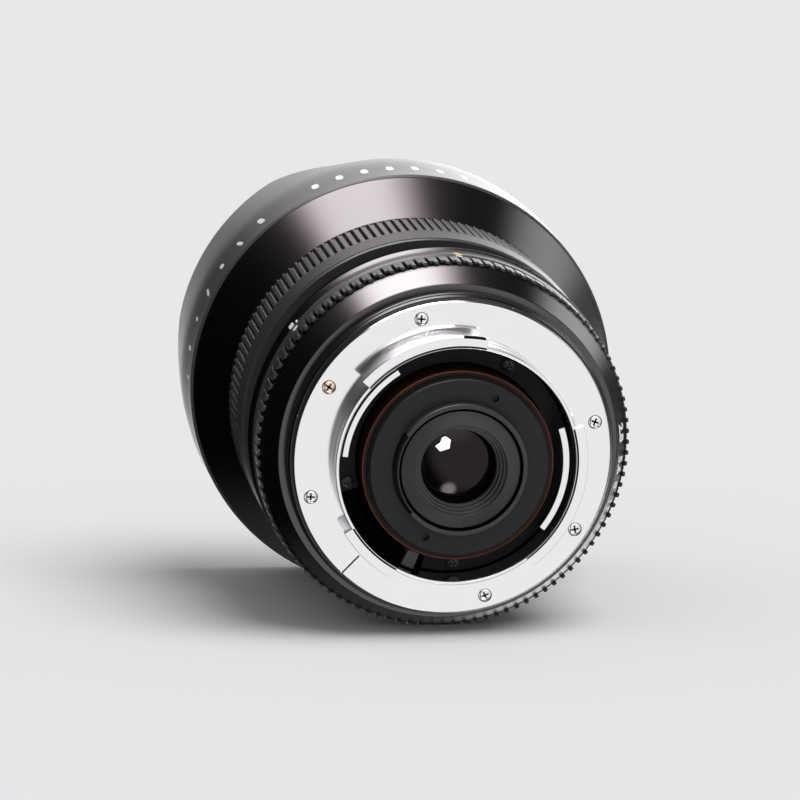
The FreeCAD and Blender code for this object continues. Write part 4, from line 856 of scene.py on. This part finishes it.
rear_ring = lathe("rear_ring_turned", lens_ring, steps=720, sharp=48)
# The groove in the ring round the glass is painted shade
paint_by(rear_ring, (LENS_RING, SHADE_PAINT), lambda face:
         1 if 10.64 < axis_distance(face) < 11.16 and face.center.y / MM > -7.6 else 0)
finish(rear_ring, None, "optical_block", "barrel_black", "rear_ring")


# Glass with true spherical faces
def element(name, radius, front, front_curve, back, back_curve, seat=None, steps=200):
    """front and back vertices; a negative curve is hollow, and at the back stops at seat."""
    outline = []
    rings = 24
    for i in range(rings + 1):
        r = max(0.02, radius * i / rings)
        sag = abs(front_curve) - math.sqrt(front_curve ** 2 - r * r)
        outline.append((r, front - math.copysign(sag, front_curve), 0))
    low = []
    if back_curve > 0:
        for i in range(rings + 1):
            r = max(0.02, radius * i / rings)
            low.append((r, back + (back_curve - math.sqrt(back_curve ** 2 - r * r)), 0))
    else:
        bend = -back_curve
        drop = back - seat
        rim = math.sqrt(bend ** 2 - (bend - drop) ** 2) if drop < bend else bend
        for i in range(rings + 1):
            r = max(0.02, rim * i / rings)
            low.append((r, back - (bend - math.sqrt(max(0.0, bend ** 2 - r * r))), 0))
        low.append((radius, seat, 0))
    return lathe(name, outline + low[::-1], steps=steps, sharp=30)


front_glass = element("front_element_ground", 29.0, 73.5, 44.0, 68.5, -22.0, 57.0, steps=240)
finish(front_glass, FRONT_GLASS, "optical_block", "coated_glass", "front_element")
REAR_VERTEX, REAR_CURVE = -4.2, 30.0
rear_glass = element("rear_element_ground", 8.8, 0.2, 40.0, REAR_VERTEX, REAR_CURVE)
finish(rear_glass, REAR_GLASS_SHADE, "optical_block", "coated_glass", "rear_element")
cemented = element("cemented_rear_ground", 9.6, 3.6, -26.0, 2.1, -50.0, 1.55)
finish(cemented, GLASS_SHADE, "optical_block", "coated_glass", "thirteenth_element")
# The open iris shows as a small glowing notched shape laid on the rear glass: painted light in
# place of the light seen through the iris
OPENING_AT = (-2.72, 3.78)
OPENING = ((-1.42, -0.35), (-0.53, 0.28), (-0.25, 1.13), (0.35, 1.42), (1.31, 0.81), (1.1, -0.7),
           (-0.53, -1.27))
spots = [(OPENING_AT[0] + x, OPENING_AT[1] + z) for x, z in OPENING]
sides = [[(x, lift + REAR_VERTEX + (x * x + z * z) / (2 * REAR_CURVE), z) for x, z in spots]
         for lift in (-0.07, -0.03)]
opening = prism("iris_glow_painted", *sides)
finish(opening, PAINTED_IRIS_GLOW, "optical_block", "coated_glass")

# Backdrop, floor patch and lights
PALE = (0.807, 0.807, 0.823, 1)
world = bpy.data.worlds.new("pale")
bpy.context.scene.world = world
world.use_nodes = True
nodes, link = world.node_tree.nodes, world.node_tree.links.new
seen = nodes["Background"]
seen.inputs["Color"].default_value = PALE
fill = nodes.new("ShaderNodeBackground")
fill.inputs["Color"].default_value = (0.38, 0.38, 0.38, 1)
path = nodes.new("ShaderNodeLightPath")
seen_by = calc(nodes, link, "ADD", path.outputs["Is Camera Ray"], path.outputs["Is Glossy Ray"])
seen_by = calc(nodes, link, "ADD", seen_by, path.outputs["Is Transmission Ray"])
seen_by.node.use_clamp = True
blend = nodes.new("ShaderNodeMixShader")
link(seen_by, blend.inputs[0])
link(fill.outputs[0], blend.inputs[1])
link(seen.outputs[0], blend.inputs[2])
link(blend.outputs[0], nodes["World Output"].inputs["Surface"])


def glow_material(name):
    """A material that only glows, with its nodes, its link call and its emission node."""
    mat = bpy.data.materials.new(name)
    mat.use_nodes = True
    nodes, link = mat.node_tree.nodes, mat.node_tree.links.new
    nodes.clear()
    out = nodes.new("ShaderNodeOutputMaterial")
    glow = nodes.new("ShaderNodeEmission")
    link(glow.outputs[0], out.inputs["Surface"])
    return mat, nodes, link, glow


def dome_material(lobes, faint):
    """Light by direction: a faint level all round, and a soft-edged lobe for each row."""
    mat, nodes, link, glow = glow_material("dome_light")
    spot = nodes.new("ShaderNodeTexCoord")
    way = nodes.new("ShaderNodeVectorMath")
    way.operation = "NORMALIZE"
    link(spot.outputs["Object"], way.inputs[0])
    total = faint
    for aim, inner, outer, power in lobes:
        dot = nodes.new("ShaderNodeVectorMath")
        dot.operation = "DOT_PRODUCT"
        dot.inputs[1].default_value = Vector(aim).normalized()
        link(way.outputs[0], dot.inputs[0])
        soft = nodes.new("ShaderNodeMapRange")
        soft.interpolation_type = "SMOOTHSTEP"
        soft.inputs["From Min"].default_value = math.cos(math.radians(outer))
        soft.inputs["From Max"].default_value = math.cos(math.radians(inner))
        soft.inputs["To Max"].default_value = power
        link(dot.outputs["Value"], soft.inputs["Value"])
        total = calc(nodes, link, "ADD", total, soft.outputs[0])
    link(total, glow.inputs["Strength"])
    glow.inputs["Color"].default_value = (1, 0.985, 0.99, 1)
    return mat


def for_reflections(obj):
    """Link an object that only reflections see."""
    bpy.context.scene.collection.objects.link(obj)
    obj.visible_camera = False
    obj.visible_diffuse = False
    obj.visible_shadow = False
    return obj


# aim, full inside this angle, none outside this angle, strength
LOBES = (((0.45, -0.88, 0.05), 31, 43, 0.84), ((0.27, 0.94, -0.17), 16, 31, 3.7),
         ((0.12, 0.93, 0.4), 6, 30, 0.9), ((0.95, 0.3, -0.05), 15, 45, 0.09),
         ((0.8, 0.42, 0.42), 5, 19, 2.2), ((0.5, 0.62, -0.6), 8, 20, 0.6),
         ((0.2, 0.5, -0.85), 25, 55, 0.1), ((0.09, -0.84, -0.53), 2, 6, 7.0),
         ((-0.6, -0.75, -0.28), 14, 27, 0.75), ((0.0, -0.5, -0.87), 16, 32, 0.5),
         ((0.95, -0.2, 0.25), 8, 30, 0.4), ((0.14, -0.93, 0.33), 10, 21, 0.66))
FAINT = 0.006
sphere = bpy.data.meshes.new("dome")
shape = bmesh.new()
bmesh.ops.create_uvsphere(shape, u_segments=64, v_segments=32, radius=2.0)
bmesh.ops.reverse_faces(shape, faces=shape.faces)
shape.to_mesh(sphere)
shape.free()
sphere.materials.append(dome_material(LOBES, FAINT))
dome = for_reflections(bpy.data.objects.new("dome", sphere))


def panel(name, corners, strength, soft):
    """A glowing panel with soft edges that only reflections see; corners go round it."""
    mesh = bpy.data.meshes.new(name)
    mesh.from_pydata(corners, [], [(0, 1, 2, 3)])
    sheet = mesh.uv_layers.new(name="sheet")
    for loop, spot in zip(sheet.data, ((0, 0), (1, 0), (1, 1), (0, 1))):
        loop.uv = spot
    mat, nodes, link, glow = glow_material(name)
    place = nodes.new("ShaderNodeUVMap")
    place.uv_map = "sheet"
    axes = nodes.new("ShaderNodeSeparateXYZ")
    link(place.outputs[0], axes.inputs[0])
    edges = []
    for axis, wide in zip("XY", soft):
        edge = nodes.new("ShaderNodeMapRange")
        edge.interpolation_type = "SMOOTHSTEP"
        edge.inputs["From Max"].default_value = wide
        link(calc(nodes, link, "PINGPONG", axes.outputs[axis], 0.5), edge.inputs["Value"])
        edges.append(edge.outputs[0])
    last = calc(nodes, link, "MULTIPLY", *edges)
    link(calc(nodes, link, "MULTIPLY", last, strength), glow.inputs["Strength"])
    tint = nodes.new("ShaderNodeMix")
    tint.data_type = "RGBA"
    tint.inputs["A"].default_value = (1, 0.8, 0.86, 1)
    tint.inputs["B"].default_value = (1, 0.97, 0.975, 1)
    link(last, tint.inputs["Factor"])
    link(tint.outputs["Result"], glow.inputs["Color"])
    mesh.materials.append(mat)
    return for_reflections(bpy.data.objects.new(name, mesh))


overhead = panel("overhead_box", [(-0.72, -0.8, 1.0), (0.29, -0.8, 1.0),
                                  (0.27, 1.5, 1.0), (-0.7, 1.5, 1.0)], 9.2, (0.32, 0.3))

# The floor touches the teeth and the hood's lower rim, so it leans a little
TEETH_SPOT, RIM_SPOT, FLOOR_MIDDLE, FLOOR_GAP = (34.4, 13.65), (43.5, 78.0), 45, 0.0003
lean = math.atan2(RIM_SPOT[0] - TEETH_SPOT[0], RIM_SPOT[1] - TEETH_SPOT[1])
drop = (TEETH_SPOT[0] + (FLOOR_MIDDLE - TEETH_SPOT[1]) * math.tan(lean)) * MM + FLOOR_GAP
floor_mesh = bpy.data.meshes.new("floor")
shape = bmesh.new()
bmesh.ops.create_grid(shape, x_segments=1, y_segments=1, size=0.3)
shape.to_mesh(floor_mesh)
shape.free()
floor = bpy.data.objects.new("floor", floor_mesh)
bpy.context.scene.collection.objects.link(floor)
place = Matrix.Translation((0, FLOOR_MIDDLE * MM, -drop))
floor.matrix_world = place @ Matrix.Rotation(-lean, 4, "X")
floor.visible_glossy = False
paper, nodes, link, shader = new_material("floor_paper")
nodes.remove(shader)
out = nodes["Material Output"]
white = nodes.new("ShaderNodeBsdfDiffuse")
white.inputs["Color"].default_value = PALE
clear = nodes.new("ShaderNodeBsdfTransparent")
mix = nodes.new("ShaderNodeMixShader")
spot = nodes.new("ShaderNodeTexCoord")
far = nodes.new("ShaderNodeVectorMath")
far.operation = "LENGTH"
fade = nodes.new("ShaderNodeMapRange")
fade.interpolation_type = "SMOOTHSTEP"
fade.inputs["From Min"].default_value = 0.13
fade.inputs["From Max"].default_value = 0.27
link(spot.outputs["Object"], far.inputs[0])
link(far.outputs["Value"], fade.inputs["Value"])
link(fade.outputs[0], mix.inputs[0])
link(white.outputs[0], mix.inputs[1])
link(clear.outputs[0], mix.inputs[2])
link(mix.outputs[0], out.inputs["Surface"])
floor.data.materials.append(paper)

# One soft sun from above right, which reflections don't see
key = bpy.data.lights.new("key_light", "SUN")
key.energy = 2.16
key.angle = math.radians(46)
lamp = bpy.data.objects.new("key_light", key)
bpy.context.scene.collection.objects.link(lamp)
lamp.rotation_euler = Vector((-0.33, 0.2, -0.92)).to_track_quat("-Z", "Y").to_euler()
lamp.visible_glossy = False

# Camera, matched to the edges of the rings; the last two shifts are less than a pixel
eye = bpy.data.cameras.new("camera")
eye.lens = 112.78
eye.sensor_width = 36.0
eye.clip_start = 0.01
eye.clip_end = 50.0
camera = bpy.data.objects.new("camera", eye)
bpy.context.scene.collection.objects.link(camera)
right = Vector((0.9874, -0.1541, 0.0365))
up = Vector((0.0, 0.2306, 0.9731))
ahead = Vector((0.1584, 0.9608, -0.2277))
turn = Matrix((right, up, -ahead)).transposed().to_4x4()
stand = Vector((-0.0805, -0.4277, 0.1122)) - right * 0.00015 + up * 0.00009
camera.matrix_world = Matrix.Translation(stand) @ turn
bpy.context.scene.camera = camera
bpy.context.scene.view_settings.view_transform = "Standard"
